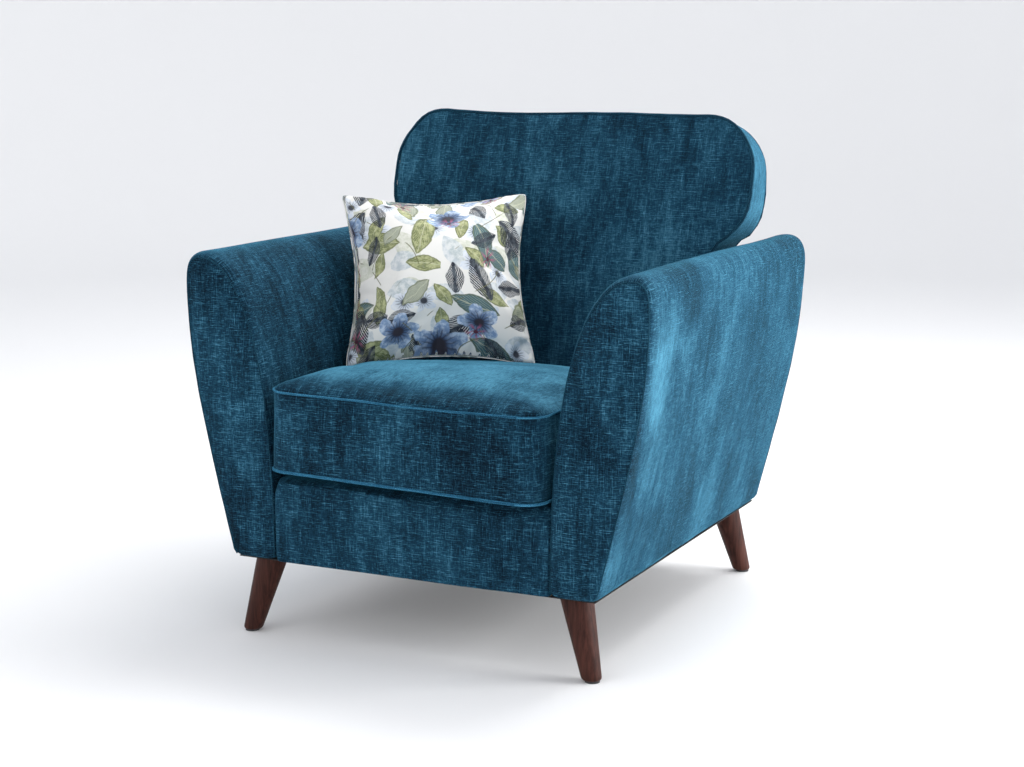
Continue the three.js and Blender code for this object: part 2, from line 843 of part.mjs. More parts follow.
function makeLegs() {
  for (const [end, topY, footY] of [
    ["front", frontLegY, legFootInset],
    ["rear", rearLegY, armDepth - legFootInset],
  ]) {
    for (const [side, sign] of sides) {
      addPiece(`leg_${end}_${side}`, leg(sign * legTopX, topY, sign * legFootX, footY), walnut);
      const bolt = upright(
        boltRadius,
        sign * legTopX,
        topY,
        legTop - boltInLeg,
        undersideHeight + boltInRail,
      );
      addPiece(`leg_bolt_${end}_${side}`, bolt, steel);
      addPiece(`leg_glide_${end}_${side}`, upright(glideRadius, sign * legFootX, footY, 0, glideThickness), nylon);
    }
  }
}

for (const [side, sign] of sides) {
  makeArm(side, sign);
}
makeBack();
makeSeatBase();
makeSeatCushion();
makeScatterCushion();
makeLegs();

const group = new THREE.Group();
group.add(chair);

export default group;
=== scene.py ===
"""Upholstered armchair: covers, cushions, piping, legs and stage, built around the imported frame."""

import json
import math
from functools import partialmethod

import bmesh
import bpy
from mathutils import Euler, Matrix, Vector, kdtree, noise
from mathutils.geometry import interpolate_bezier


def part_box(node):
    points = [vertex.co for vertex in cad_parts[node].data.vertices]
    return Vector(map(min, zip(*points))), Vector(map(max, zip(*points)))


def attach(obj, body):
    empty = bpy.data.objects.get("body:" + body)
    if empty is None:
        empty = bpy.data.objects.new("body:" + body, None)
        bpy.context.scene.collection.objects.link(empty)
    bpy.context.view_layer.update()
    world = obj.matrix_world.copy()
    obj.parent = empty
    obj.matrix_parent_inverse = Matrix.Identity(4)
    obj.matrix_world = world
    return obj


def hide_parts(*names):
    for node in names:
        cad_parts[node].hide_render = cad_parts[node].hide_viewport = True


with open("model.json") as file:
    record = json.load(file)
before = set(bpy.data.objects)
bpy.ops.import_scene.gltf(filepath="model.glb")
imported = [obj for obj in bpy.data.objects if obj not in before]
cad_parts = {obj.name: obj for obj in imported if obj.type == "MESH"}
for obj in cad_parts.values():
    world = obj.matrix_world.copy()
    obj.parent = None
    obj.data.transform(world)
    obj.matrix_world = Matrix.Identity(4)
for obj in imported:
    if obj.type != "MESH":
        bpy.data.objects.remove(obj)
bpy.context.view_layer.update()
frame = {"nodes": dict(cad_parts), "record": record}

bl_info = {
    "name": "Upholstered armchair",
    "version": (1, 0, 0),
    "blender": (4, 5, 0),
    "location": "3D View > Sidebar > Armchair",
    "description": "Builds an upholstered armchair with loose seat and scatter cushions",
    "category": "Object",
}

UV_NAME = "weave"
PAINTED_LIGHT_NAME = "nap_and_painted_light"

SEAM_SPACING = 0.004  # between the points that a seam is drawn to
CORD_WAVER = 0.0005  # how far a sewn cord wanders from its line
CORD_SEED = 1  # without it the clock would set how each cord wanders
AXES = {"use_axis_x": True, "use_axis_y": True, "use_axis_z": True}

# Places taken from the frame
ARM_LOW, ARM_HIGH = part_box("arm_cover_right")
BACK_LOW, BACK_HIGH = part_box("back_cover")
OUTSIDE_LOW, OUTSIDE_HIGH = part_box("outside_back")
SEAT_LOW, SEAT_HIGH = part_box("seat_cushion_cover")
RAIL_LOW, RAIL_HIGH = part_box("front_cover")
DECK_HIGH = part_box("seat_deck")[1]

ARM_FRONT = ARM_LOW.y
ARM_REAR = ARM_HIGH.y
UNDERSIDE = ARM_LOW.z
SEAT_HALF = ARM_LOW.x

# Shares of the arm's section, as in the frame
ARM_FOOT_WIDTH = 0.088
ARM_CREST_INSET = 0.035
ARM_CORNER_DROP = 0.046
OUTSIDE_POINTS, SHOULDER_POINTS, INSIDE_POINTS = 40, 12, 44

# The back's outline and slope, as in the frame
BACK_NECK = 0.318
BACK_CORNER = 0.105
EAR_LINE = (
    (0.318, 0.630),
    (0.320, 0.660),
    (0.332, 0.679),
    (0.348, 0.690),
    (0.366, 0.708),
    (0.376, 0.722),
    (0.384, 0.744),
    (0.387, 0.768),
)
BACK_LEAN = math.radians(15)
BACK_BREAK = 0.462
BACK_DEPTH = 0.189
BACK_REAR_GAP = 0.0033


# ---------------------------------------------------------------- settings


def length(name, description, default):
    words = {"name": name, "description": description}
    return bpy.props.FloatProperty(default=default, unit="LENGTH", **words)


def angle(name, description, degrees):
    words = {"name": name, "description": description}
    return bpy.props.FloatProperty(default=math.radians(degrees), subtype="ANGLE", **words)


def colour(name, description, default):
    words = {"name": name, "description": description}
    return bpy.props.FloatVectorProperty(size=3, default=default, subtype="COLOR", **words)


class ArmchairSizes(bpy.types.PropertyGroup):
    """Sizes of the upholstery that a user may change."""

    arm_roll: length("Arm roll", "Radius of the wrap behind each arm seam", 0.022)
    arm_puff: length("Arm puff", "How far the arm's front panel swells", 0.006)
    seam_radius: length("Seam radius", "Radius of the plain seams' ridge", 0.0012)
    foot_radius: length("Foot radius", "Rounding of the arm's bottom corners", 0.010)
    piping_radius: length("Piping radius", "Radius of the self piping", 0.0032)
    seat_crown: length("Seat crown", "Rise of the seat cushion above its piping", 0.030)
    seat_voxel: length("Cushion mesh", "Mesh spacing of the simulated cushion", 0.009)
    back_voxel: length("Back mesh", "Mesh spacing of the simulated back", 0.010)
    scatter_side: length("Scatter side", "Side of the scatter cushion, corner to corner", 0.370)
    scatter_plump: length("Scatter plumpness", "Half the scatter cushion's thickness", 0.058)
    scatter_lean: angle("Scatter lean", "How far the scatter cushion leans back", 30)
    scatter_yaw: angle("Scatter yaw", "How far the scatter cushion is turned", 31.3)


class ArmchairColours(bpy.types.PropertyGroup):
    """Colours of the cloths and the wood."""

    cloth_dark: colour("Cloth shade", "Chenille in its hollows", (0.0012, 0.0075, 0.0150))
    cloth_mid: colour("Cloth", "Chenille's main colour", (0.0085, 0.050, 0.093))
    cloth_light: colour("Cloth slubs", "Chenille's light threads", (0.085, 0.285, 0.415))
    wood_dark: colour("Wood grain", "Dark grain of the legs", (0.0150, 0.0048, 0.0036))
    wood_light: colour("Wood", "Light grain of the legs", (0.085, 0.0290, 0.0200))
    print_ground: colour("Print ground", "Ground of the scatter cushion", (0.84, 0.83, 0.79))


def sizes():
    return bpy.context.scene.armchair_sizes


def colours():
    return bpy.context.scene.armchair_colours


# ---------------------------------------------------------------- materials


class Value:
    """A socket in a material, so that shader maths can be written as Python expressions."""

    def __init__(self, tree, socket):
        self.tree = tree
        self.socket = socket

    def maths(self, operation, *others):
        node = self.tree.nodes.new("ShaderNodeMath")
        node.operation = operation
        for place, value in zip(node.inputs, (self, *others)):
            connect(self.tree, place, value)
        return Value(self.tree, node.outputs[0])

    def __rsub__(self, other):
        return (self * -1.0).maths("ADD", other)

    def step(self, low, high):
        """0 below low, 1 above high and smooth between; high may be the smaller."""
        node = self.tree.nodes.new("ShaderNodeMapRange")
        node.interpolation_type = "SMOOTHSTEP"
        for place, value in zip(node.inputs, (self, low, high, 0.0, 1.0)):
            connect(self.tree, place, value)
        return Value(self.tree, node.outputs[0])


VALUE_METHODS = {
    "__add__": "ADD",
    "__radd__": "ADD",
    "__mul__": "MULTIPLY",
    "__rmul__": "MULTIPLY",
    "__sub__": "SUBTRACT",
    "__truediv__": "DIVIDE",
    "__pow__": "POWER",
    "__abs__": "ABSOLUTE",
    "least": "MINIMUM",
    "most": "MAXIMUM",
    "sine": "SINE",
    "cosine": "COSINE",
}
for method, maths_operation in VALUE_METHODS.items():
    setattr(Value, method, partialmethod(Value.maths, maths_operation))


def connect(tree, place, value):
    """Links a socket, or sets a plain number or colour on it."""
    if isinstance(value, Value):
        tree.links.new(value.socket, place)
    elif isinstance(value, tuple) and len(value) == 3 and place.type == "RGBA":
        place.default_value = (*value, 1.0)
    else:
        place.default_value = value


class Finish:
    """A material being built."""

    def __init__(self, name):
        self.material = bpy.data.materials.new(name)
        self.material.use_nodes = True
        self.tree = self.material.node_tree
        self.tree.nodes.clear()

    def node(self, kind, inputs=(), output=0, stops=None, **settings):
        """Adds a node: its settings, then a ramp's stops, then its inputs by name or number."""
        node = self.tree.nodes.new("ShaderNode" + kind)
        for key, setting in settings.items():
            setattr(node, key, setting)
        if stops:
            elements = node.color_ramp.elements
            while len(elements) < len(stops):
                elements.new(0.5)
            for element, (place, colour) in zip(elements, stops):
                element.position = place
                element.color = (*colour, 1.0)
        for key, value in dict(inputs).items():
            connect(self.tree, node.inputs[key], value)
        return Value(self.tree, node.outputs[output]) if len(node.outputs) else None

    def split(self, value, kind="SeparateXYZ"):
        """The three parts of a vector or a colour."""
        parts = self.tree.nodes.new("ShaderNode" + kind)
        connect(self.tree, parts.inputs[0], value)
        return tuple(Value(self.tree, part) for part in parts.outputs)

    def coordinates(self, kind="UV"):
        return self.split(self.node("TexCoord", output=kind))

    def vector(self, x, y, z=0.0):
        return self.node("CombineXYZ", {0: x, 1: y, 2: z})

    def noise(self, place, scale, detail=2.0, roughness=0.5, distortion=0.0):
        inputs = {
            "Vector": place,
            "Scale": scale,
            "Detail": detail,
            "Roughness": roughness,
            "Distortion": distortion,
        }
        return self.node("TexNoise", inputs)

    def mix(self, share, below, above, kind="MIX"):
        inputs = {0: share, 6: below, 7: above}
        return self.node("Mix", inputs, output=2, data_type="RGBA", blend_type=kind)

    def finish(self, colour, roughness, height=None, bump=0.3, distance=0.001, **constants):
        """Ends the material with a Principled shader; constants are set on its sockets."""
        inputs = {"Base Color": colour, "Roughness": roughness}
        inputs.update({key.replace("_", " "): value for key, value in constants.items()})
        if height is not None:
            shape = {"Strength": bump, "Distance": distance, "Height": height}
            inputs["Normal"] = self.node("Bump", shape)
        shader = self.node("BsdfPrincipled", inputs)
        self.node("OutputMaterial", {"Surface": shader})
        return self.material


def chenille(name="chenille", shade=1.0, with_painted_light=True):
    """Napped slub chenille: light threads both ways over a dark ground, brushed into soft clouds.

    Shade scales the whole cloth; with painted light, the cloth is painted lighter where its painted
    light attribute is high and darker where it is low."""
    made = bpy.data.materials.get(name)
    if made:
        return made
    f = Finish(name)
    u, v, _ = f.coordinates()
    across = f.noise(f.vector(u * 105.0, v * 840.0), 1.0, 2.0, 0.55)
    along = f.noise(f.vector(u * 700.0, v * 95.0, 5.0), 1.0, 2.0, 0.55)
    across_long = f.noise(f.vector(u * 28.0, v * 700.0, 9.0), 1.0, 2.0, 0.5)
    along_long = f.noise(f.vector(u * 520.0, v * 18.0, 14.0), 1.0, 2.0, 0.5)
    fine = f.noise(f.vector(u * 1100.0, v * 1100.0), 1.0, 1.0, 0.5)
    clouds = f.noise(f.vector(u * 8.0, v * 4.0, 3.0), 1.0, 3.0, 0.6, 0.8)
    nap_and_painted_light = f.noise(f.vector(u * 60.0, v * 14.0, 7.0), 1.0, 4.0, 0.6, 0.4)
    slubs = across.step(0.48, 0.72) * 0.50 + along.step(0.48, 0.75) * 0.42
    slubs = slubs + across_long.step(0.54, 0.68) * 0.50 + along_long.step(0.54, 0.72) * 0.35
    streaks = (fine - 0.5) * 0.45 + (clouds - 0.5) * 0.85 + (nap_and_painted_light - 0.5) * 0.55
    if with_painted_light:
        # Painted light and shade: the cloth is lighter where the stored attribute is high, with
        # fainter slubs and fine combed streaks, and darker where it is low
        lift = f.node("Attribute", attribute_name=PAINTED_LIGHT_NAME, output=2)
        combed = f.noise(f.vector(u * 250.0, v * 65.0, 21.0), 1.0, 3.0, 0.6)
        tone = slubs * (0.64 - lift * 1.0).most(0.16) + streaks + lift + 0.155
        tone = tone + (combed - 0.5) * lift.most(0.0) * 2.2
    else:
        tone = slubs * 0.66 + streaks + 0.15
    c = colours()
    stops = [
        (0.0, tuple(shade * part for part in c.cloth_dark)),
        (0.36, tuple(shade * part for part in c.cloth_mid)),
        (1.0, tuple(shade * part for part in c.cloth_light)),
    ]
    colour = f.node("ValToRGB", {0: tone}, stops=stops)
    height = (across + along) * 0.55 + fine * 0.30 + nap_and_painted_light * 1.1 + clouds * 2.2
    return f.finish(
        colour,
        0.88,
        height,
        bump=0.75,
        distance=0.0016,
        Specular_IOR_Level=0.08,
        Sheen_Weight=0.35,
        Sheen_Roughness=0.32,
        Sheen_Tint=(0.12, 0.60, 0.90),
    )


def walnut():
    """Satin stained hardwood with grain along the leg."""
    f = Finish("stained_walnut")
    x, y, z = f.coordinates("Object")
    warp = f.noise(f.vector(x * 14.0, y * 14.0, z * 5.0), 1.0, 2.0)
    grain = f.noise(f.vector(x * 210.0 + warp * 5.0, y * 210.0, z * 9.0), 1.0, 4.0, 0.6)
    pores = f.noise(f.vector(x * 900.0, y * 900.0, z * 30.0), 1.0, 1.0)
    tone = (grain - 0.5) * 1.6 + (warp - 0.5) * 0.9 + 0.5
    c = colours()
    stops = [(0.1, tuple(c.wood_dark)), (0.9, tuple(c.wood_light))]
    colour = f.node("ValToRGB", {0: tone}, stops=stops)
    roughness = pores * 0.12 + 0.46
    bumps = {"height": grain + pores, "bump": 0.12, "distance": 0.0006}
    return f.finish(colour, roughness, **bumps, Specular_IOR_Level=0.14)


def plain_finish(name, low, high, scale, roughness, bump=0.2, metallic=0.0):
    """A mottled finish for pieces that are mostly out of sight."""
    f = Finish(name)
    x, y, z = f.coordinates("Object")
    place = f.vector(x * scale, y * scale, z * scale)
    mottle = f.noise(place, 1.0, 4.0, 0.6)
    colour = f.mix(mottle.step(0.3, 0.7), low, high)
    return f.finish(colour, roughness, mottle, bump=bump, distance=0.001, Metallic=metallic)


def sawn_timber():
    f = Finish("sawn_timber")
    x, y, z = f.coordinates("Object")
    grain = f.noise(f.vector(x * 60.0, y * 14.0, z * 60.0), 1.0, 4.0, 0.6, 0.8)
    colour = f.mix(grain.step(0.3, 0.7), (0.33, 0.19, 0.09), (0.62, 0.44, 0.25))
    return f.finish(colour, 0.75, grain, bump=0.25)


# ---------------------------------------------------------------- the scatter cushion's print


def leaf(f, u, v, scale, seed, length, width):
    """One leaf in each cell of a jittered grid, each turned its own way.

    Returns the shares along and across the leaf, and two random numbers for its cell."""
    place = f.vector(u * scale + seed, v * scale + 0.37 * seed)
    grid = {"Vector": place, "Scale": 1.0, "Randomness": 0.62}
    cell = f.node("TexVoronoi", grid, "Color", voronoi_dimensions="2D", feature="F1")
    turn, chance, hue = f.split(cell, "SeparateColor")
    centre = Value(f.tree, cell.socket.node.outputs["Position"])
    x, y, _ = f.split(f.node("VectorMath", {0: place, 1: centre}, operation="SUBTRACT"))
    angle = turn * (2.0 * math.pi)
    cos, sin = angle.cosine(), angle.sine()
    along = (x * cos + y * sin) / length
    bend = along * along * 0.10
    return along, (y * cos - x * sin) / width + bend, chance, hue


def botanical_print():
    """Loose leaves, feathery fronds, open flowers and small blossoms on a warm white ground."""
    f = Finish("botanical_print")
    u, v, _ = f.coordinates()
    wobble = f.noise(f.vector(u, v), 45.0, 2.0) - 0.5
    ripple = f.noise(f.vector(v, u, 3.0), 140.0, 2.0) - 0.5
    uu = u + wobble * 0.008 + ripple * 0.002
    vv = v - wobble * 0.008 + ripple * 0.002
    wash = f.noise(f.vector(u, v), 75.0, 5.0, 0.7)
    bleed = f.noise(f.vector(u, v), 18.0, 3.0, 0.6)
    colour = f.mix(bleed.step(0.48, 0.75) * 0.30, tuple(colours().print_ground), (0.70, 0.69, 0.66))

    def shape(along, side):
        """A pointed oval: 1 inside and 0 outside."""
        taper = 1.0 - along * along
        return (taper.most(0.0) - abs(side)).step(-0.02, 0.08)

    def polar(along, side):
        radius = f.node("Math", {0: along * along + side * side}, operation="SQRT")
        return radius, f.node("Math", {0: side, 1: along}, operation="ARCTAN2")

    def flower(colour, seed, scale, size, keep, petals, inks):
        """Petals about a dark eye, streaked along and washed out at their tips."""
        along, side, chance, _ = leaf(f, uu, vv, scale, seed, 1.0, 1.0)
        radius, angle = polar(along, side)
        petal = abs((angle * (0.5 * petals) + wobble * 2.0).cosine())
        edge = (petal * 0.42 + 0.58) * size
        mask = (edge - radius).step(-0.004, 0.016) * chance.step(keep, keep + 0.02)
        fade = (radius / size).step(0.20, 0.90)
        deep, pale, rim, eye = inks
        inner = f.mix(fade, deep, pale)
        inner = f.mix(wash.step(0.42, 0.62) * fade, inner, rim)
        streak = ((angle * 17.0 + wash * 6.0).sine() * (1.0 - fade)).step(0.1, 0.7)
        inner = f.mix(streak * 0.6, inner, eye)
        inner = f.mix((radius / size).step(0.34, 0.18), inner, eye)
        return f.mix(mask, colour, inner)

    # Pale grey and sage leaves far back
    for seed, scale, low, high in (
        (3.1, 10.0, (0.50, 0.53, 0.40), (0.74, 0.74, 0.66)),
        (8.6, 12.0, (0.42, 0.50, 0.55), (0.72, 0.75, 0.76)),
    ):
        along, side, chance, _ = leaf(f, uu, vv, scale, seed, 0.44, 0.24)
        mask = shape(along, side) * chance.step(0.30, 0.34) * 0.75
        colour = f.mix(mask, colour, f.mix(wash.step(0.35, 0.65), low, high))

    # Small white blossoms with grey shading
    whites = ((0.52, 0.58, 0.66), (0.80, 0.82, 0.84), (0.66, 0.72, 0.80), (0.05, 0.055, 0.07))
    colour = flower(colour, 66.2, 12.5, 0.34, 0.40, 5, whites)

    # Olive leaves with a mid rib and side veins
    for seed, scale, keep in ((0.0, 9.0, 0.32), (11.7, 12.5, 0.48), (17.3, 15.5, 0.55)):
        along, side, chance, hue = leaf(f, uu, vv, scale, seed, 0.46, 0.20)
        rib = abs(side).step(0.08, 0.02)
        vein = ((abs(side) * 1.6 - along) * 22.0).sine().step(0.45, 0.95)
        tone = f.mix(wash.step(0.38, 0.62), (0.15, 0.18, 0.06), (0.46, 0.48, 0.25))
        tone = f.mix(hue.step(0.78, 0.82), tone, (0.075, 0.15, 0.17))
        tone = f.mix(hue.step(0.26, 0.20) * 0.8, tone, (0.36, 0.39, 0.34))
        tone = f.mix(rib.most(vein * 0.6) * 0.6, tone, (0.62, 0.62, 0.44))
        edge = shape(along, side)
        rim = edge * (1.0 - shape(along * 1.12, side * 1.18))
        tone = f.mix(rim * 0.55, tone, (0.10, 0.12, 0.05))
        mask = edge * chance.step(keep, keep + 0.02) * (wash.step(0.20, 0.45) * 0.30 + 0.70)
        colour = f.mix(mask, colour, tone)

    # Charcoal feathers: a dark oval combed by pale side veins
    for seed, scale, keep in ((23.4, 9.5, 0.55), (31.9, 14.0, 0.45)):
        along, side, chance, _ = leaf(f, uu, vv, scale, seed, 0.44, 0.24)
        comb = ((abs(side) * 1.3 + along) * 30.0 + wash * 4.0).sine()
        slits = comb.step(0.20, 0.75) * abs(side).step(0.10, 0.3)
        ink = f.mix(wash.step(0.40, 0.65), (0.020, 0.024, 0.036), (0.095, 0.115, 0.135))
        mask = shape(along, side) * chance.step(keep, keep + 0.02) * (1.0 - slits * 0.85)
        colour = f.mix(mask, colour, ink)

    # Open blue flowers, a few of them large
    blues = ((0.055, 0.10, 0.20), (0.22, 0.33, 0.52), (0.58, 0.68, 0.80), (0.035, 0.032, 0.045))
    colour = flower(colour, 44.9, 8.5, 0.36, 0.62, 5, blues)
    colour = flower(colour, 52.4, 5.2, 0.30, 0.55, 6, blues)

    # Small magenta blossoms: thin rays
    along, side, chance, _ = leaf(f, uu, vv, 13.0, 71.3, 1.0, 1.0)
    radius, angle = polar(along, side)
    ray = abs((angle * 3.5 + wobble * 5.0).cosine()).step(0.70, 0.96)
    rays = (radius.step(0.34, 0.10) * ray * 0.8).most(radius.step(0.07, 0.04))
    mask = rays * chance.step(0.72, 0.74)
    blossom = f.mix(radius.step(0.05, 0.16), (0.10, 0.03, 0.05), (0.46, 0.12, 0.22))
    colour = f.mix(mask, colour, blossom)

    # Thin stems winding between the motifs
    for seed, turn in ((1.0, 0.7), (2.0, 2.2)):
        path = u * math.cos(turn) + v * math.sin(turn)
        across = v * math.cos(turn) - u * math.sin(turn)
        wave = f.noise(f.vector(path * 6.0 + seed * 9.0, across * 1.2), 1.0, 1.0) - 0.5
        line = abs(((across + wave * 0.10) * 34.0).sine())
        gate = f.noise(f.vector(u + seed, v), 22.0, 1.0).step(0.52, 0.58)
        mask = line.step(0.045, 0.018) * gate * 0.8
        colour = f.mix(mask, colour, (0.15, 0.15, 0.07))

    weave = f.noise(f.vector(u * 1400.0, v * 1400.0), 1.0, 1.0)
    soft = weave + wash * 0.3
    return f.finish(
        colour,
        0.78,
        soft,
        bump=0.18,
        distance=0.0008,
        Specular_IOR_Level=0.2,
        Sheen_Weight=0.15,
        Sheen_Roughness=0.45,
    )


# ---------------------------------------------------------------- numbers


def clamp(value, low=0.0, high=1.0):
    return min(max(value, low), high)


def dome(offset, reach):
    """1 in the middle, falling to 0 at a reach to either side."""
    return max(0.0, 1.0 - (offset / reach) ** 2)


# ---------------------------------------------------------------- meshes


def outline_normals(outline):
    """Inward unit directions at the corners of an anticlockwise outline."""
    inward = []
    for i, point in enumerate(outline):
        arriving = (point - outline[i - 1]).normalized()
        leaving = (outline[(i + 1) % len(outline)] - point).normalized()
        inward.append(Vector((-arriving.y - leaving.y, arriving.x + leaving.x)).normalized())
    return inward


def verts_in(made):
    """The corners among an extrusion's results."""
    return [item for item in made if isinstance(item, bmesh.types.BMVert)]


def closed_row(bm, places):
    """A new closed row of edges through some places."""
    verts = [bm.verts.new(place) for place in places]
    return [bm.edges.new((a, b)) for a, b in zip(verts, verts[1:] + verts[:1])]


def put_in_order(bm):
    """Sorts edges and faces by their corners, so that a simulation goes the same way every time."""
    bm.verts.index_update()
    count = len(bm.verts)

    def place_of(element):
        place = 0
        for index in sorted(vert.index for vert in element.verts)[:3]:
            place = place * count + index
        return place

    bm.edges.sort(key=place_of)
    bm.faces.sort(key=place_of)


def edges_between(made, verts):
    """The edges among an extrusion's results whose both ends are among some corners."""
    fresh = set(verts)
    return [
        item
        for item in made
        if isinstance(item, bmesh.types.BMEdge) and all(vert in fresh for vert in item.verts)
    ]


def new_object(name, data):
    made = bpy.data.objects.new(name, data)
    bpy.context.scene.collection.objects.link(made)
    return made


def new_piece(name, bm, material):
    """Turns a bmesh into an object at the origin with its normals outwards."""
    bmesh.ops.recalc_face_normals(bm, faces=bm.faces[:])
    mesh = bpy.data.meshes.new(name)
    bm.to_mesh(mesh)
    bm.free()
    mesh.materials.append(material)
    mesh.shade_smooth()
    return new_object(name, mesh)


def dress(mesh, material):
    """Gives a mesh one material in place of what it has."""
    mesh.materials.clear()
    mesh.materials.append(material)


def subdivide(piece):
    modifier = piece.modifiers.new("Subdivision", "SUBSURF")
    modifier.levels = 1
    modifier.render_levels = 1


def bake_modifiers(piece):
    """Replaces a piece's mesh with what its modifiers make of it."""
    graph = bpy.context.evaluated_depsgraph_get()
    mesh = bpy.data.meshes.new_from_object(piece.evaluated_get(graph))
    piece.modifiers.clear()
    piece.data = mesh


def dense(points, spacing, closed=True):
    """The same path with corners kept and long runs split to a spacing."""
    result = []
    count = len(points) if closed else len(points) - 1
    for i in range(count):
        start, end = points[i], points[(i + 1) % len(points)]
        parts = max(1, round((end - start).length / spacing))
        result.extend(start.lerp(end, k / parts) for k in range(parts))
    if not closed:
        result.append(points[-1])
    return result


def resampled(points, count, closed=True):
    """The same path with a number of evenly spaced points."""
    ring = points + [points[0]] if closed else points
    lengths = [0.0]
    for a, b in zip(ring, ring[1:]):
        lengths.append(lengths[-1] + (b - a).length)
    total = lengths[-1]
    result = []
    k = 0
    steps = count if closed else count - 1
    for i in range(count):
        want = total * i / steps
        while k < len(lengths) - 2 and lengths[k + 1] < want:
            k += 1
        share = (want - lengths[k]) / max(lengths[k + 1] - lengths[k], 1e-9)
        result.append(ring[k].lerp(ring[k + 1], clamp(share)))
    return result


def from_gap(path):
    """The same ring of points, begun after its widest gap."""
    gap = max(range(len(path)), key=lambda i: (path[i] - path[i - 1]).length)
    return path[gap:] + path[:gap]


def rope(name, points, radius, material, closed=False, waver=0.0):
    """A round cord of cloth along a path, with its weave's UV along its length."""
    curve = bpy.data.curves.new(name, "CURVE")
    curve.dimensions = "3D"
    curve.bevel_depth = radius
    curve.bevel_resolution = 3
    curve.use_fill_caps = not closed
    spline = curve.splines.new("POLY")
    spline.points.add(len(points) - 1)
    noise.seed_set(CORD_SEED)
    for point, place in zip(spline.points, points):
        wander = noise.noise_vector(place * 23.0) * waver
        point.co = (*(place + wander), 1.0)
        point.radius = 1.0 + 0.10 * noise.noise(place * 61.0)
    spline.use_cyclic_u = closed
    spline.use_smooth = True
    source = new_object(name + "_path", curve)
    graph = bpy.context.evaluated_depsgraph_get()
    mesh = bpy.data.meshes.new_from_object(source.evaluated_get(graph))
    bpy.data.objects.remove(source)
    bm = bmesh.new()
    bm.from_mesh(mesh)
    bpy.data.meshes.remove(mesh)
    bmesh.ops.remove_doubles(bm, verts=bm.verts[:], dist=1e-6)
    project_uv(bm)
    return new_piece(name, bm, material)


def project_uv(bm, normals=None):
    """Lays the weave's UV, in metres, square to whichever axis each face looks along."""
    layer = bm.loops.layers.uv.get(UV_NAME) or bm.loops.layers.uv.new(UV_NAME)
    bm.normal_update()
    for face in bm.faces:
        n = normals[face.index] if normals else face.normal
        side = max(range(3), key=lambda i: abs(n[i]))
        for loop in face.loops:
            co = loop.vert.co
            if side == 0:
                loop[layer].uv = (co.y, co.z)
            elif side == 1:
                loop[layer].uv = (co.x, co.z)
            else:
                loop[layer].uv = (co.x, co.y)


def soften(bm, height, scale, seed):
    """Moves each corner a little along its normal, so that no panel is quite flat."""
    bm.normal_update()
    shift = Vector((seed, 0.7 * seed, 1.3 * seed))
    for vert in bm.verts:
        place = vert.co * scale
        amount = noise.noise(place + shift) + 0.45 * noise.noise(place * 2.7 + shift)
        vert.co += vert.normal * amount * height


def paint_light_and_shade(piece, painted_light_of):
    """Stores painted light and shade: how much lighter or darker each corner's cloth is painted."""
    layer = piece.data.attributes.new(PAINTED_LIGHT_NAME, "FLOAT", "POINT")
    for vert in piece.data.vertices:
        layer.data[vert.index].value = painted_light_of(vert.co, vert.normal)


def smooth_share(value, low, high):
    """0 at low, 1 at high and smooth between."""
    share = clamp((value - low) / (high - low))
    return share * share * (3.0 - 2.0 * share)


def tree_of(points):
    tree = kdtree.KDTree(len(points))
    for i, point in enumerate(points):
        tree.insert(point, i)
    tree.balance()
    return tree


def pucker(bm, seam_points, height, reach, wavelength, seed, floor=-1.0):
    """Small gathers that fade away from a seam, and away below a height."""
    bm.normal_update()
    tree = tree_of(seam_points)
    shift = Vector((seed, seed, seed))
    for vert in bm.verts:
        place, _, distance = tree.find(vert.co)
        if distance > reach:
            continue
        fade = (1.0 - distance / reach) ** 2 * min(1.0, distance / 0.006)
        fade *= smooth_share(vert.co.z, floor, floor + 0.05)
        along = noise.noise(place / wavelength + shift)
        vert.co += vert.normal * (along * height * fade)


# ---------------------------------------------------------------- cloth


def inflate(piece, pressure, steps, cap, pinned, stiffness=15.0, bending=0.5, growth=0.0):
    """Runs a short cloth simulation with air pressure inside, and keeps its shape up to a cap."""
    rest = [vert.co.copy() for vert in piece.data.vertices]
    modifier = piece.modifiers.new("Cloth", "CLOTH")
    cloth = modifier.settings
    cloth.quality = 6
    cloth.mass = 0.3
    cloth.tension_stiffness = stiffness
    cloth.compression_stiffness = stiffness
    cloth.shear_stiffness = 0.4 * stiffness
    cloth.bending_stiffness = bending
    cloth.use_pressure = True
    cloth.uniform_pressure_force = pressure
    cloth.shrink_min = -growth
    cloth.effector_weights.gravity = 0.0
    modifier.collision_settings.use_collision = False
    group = piece.vertex_groups.new(name="pinned")
    for index, weight in enumerate(pinned):
        if weight > 0.01:
            group.add([index], weight, "REPLACE")
    cloth.vertex_group_mass = group.name
    modifier.point_cache.frame_start = 1
    modifier.point_cache.frame_end = steps
    scene = bpy.context.scene
    for step in range(1, steps + 1):
        scene.frame_set(step)
    graph = bpy.context.evaluated_depsgraph_get()
    shaped = piece.evaluated_get(graph)
    moved = [vert.co.copy() for vert in shaped.data.vertices]
    piece.modifiers.remove(modifier)
    piece.vertex_groups.clear()
    scene.frame_set(1)
    for vert, start, end in zip(piece.data.vertices, rest, moved):
        shift = end - start
        reach = shift.length
        if cap and reach > 1e-9:
            shift *= cap * math.tanh(reach / cap) / reach
        vert.co = start + shift


def remeshed(piece, voxel):
    modifier = piece.modifiers.new("Remesh", "REMESH")
    modifier.mode = "VOXEL"
    modifier.voxel_size = voxel
    bake_modifiers(piece)


def padded_block(name, lines, voxel):
    """An evenly meshed solid through a row of closed lines."""
    bm = bmesh.new()
    loops = [closed_row(bm, line) for line in lines]
    for a, b in zip(loops, loops[1:]):
        bmesh.ops.bridge_loops(bm, edges=a + b)
    for loop in (loops[0], loops[-1]):
        bmesh.ops.triangle_fill(bm, edges=loop, use_beauty=True)
    piece = new_piece(name, bm, chenille())
    remeshed(piece, voxel)
    return piece


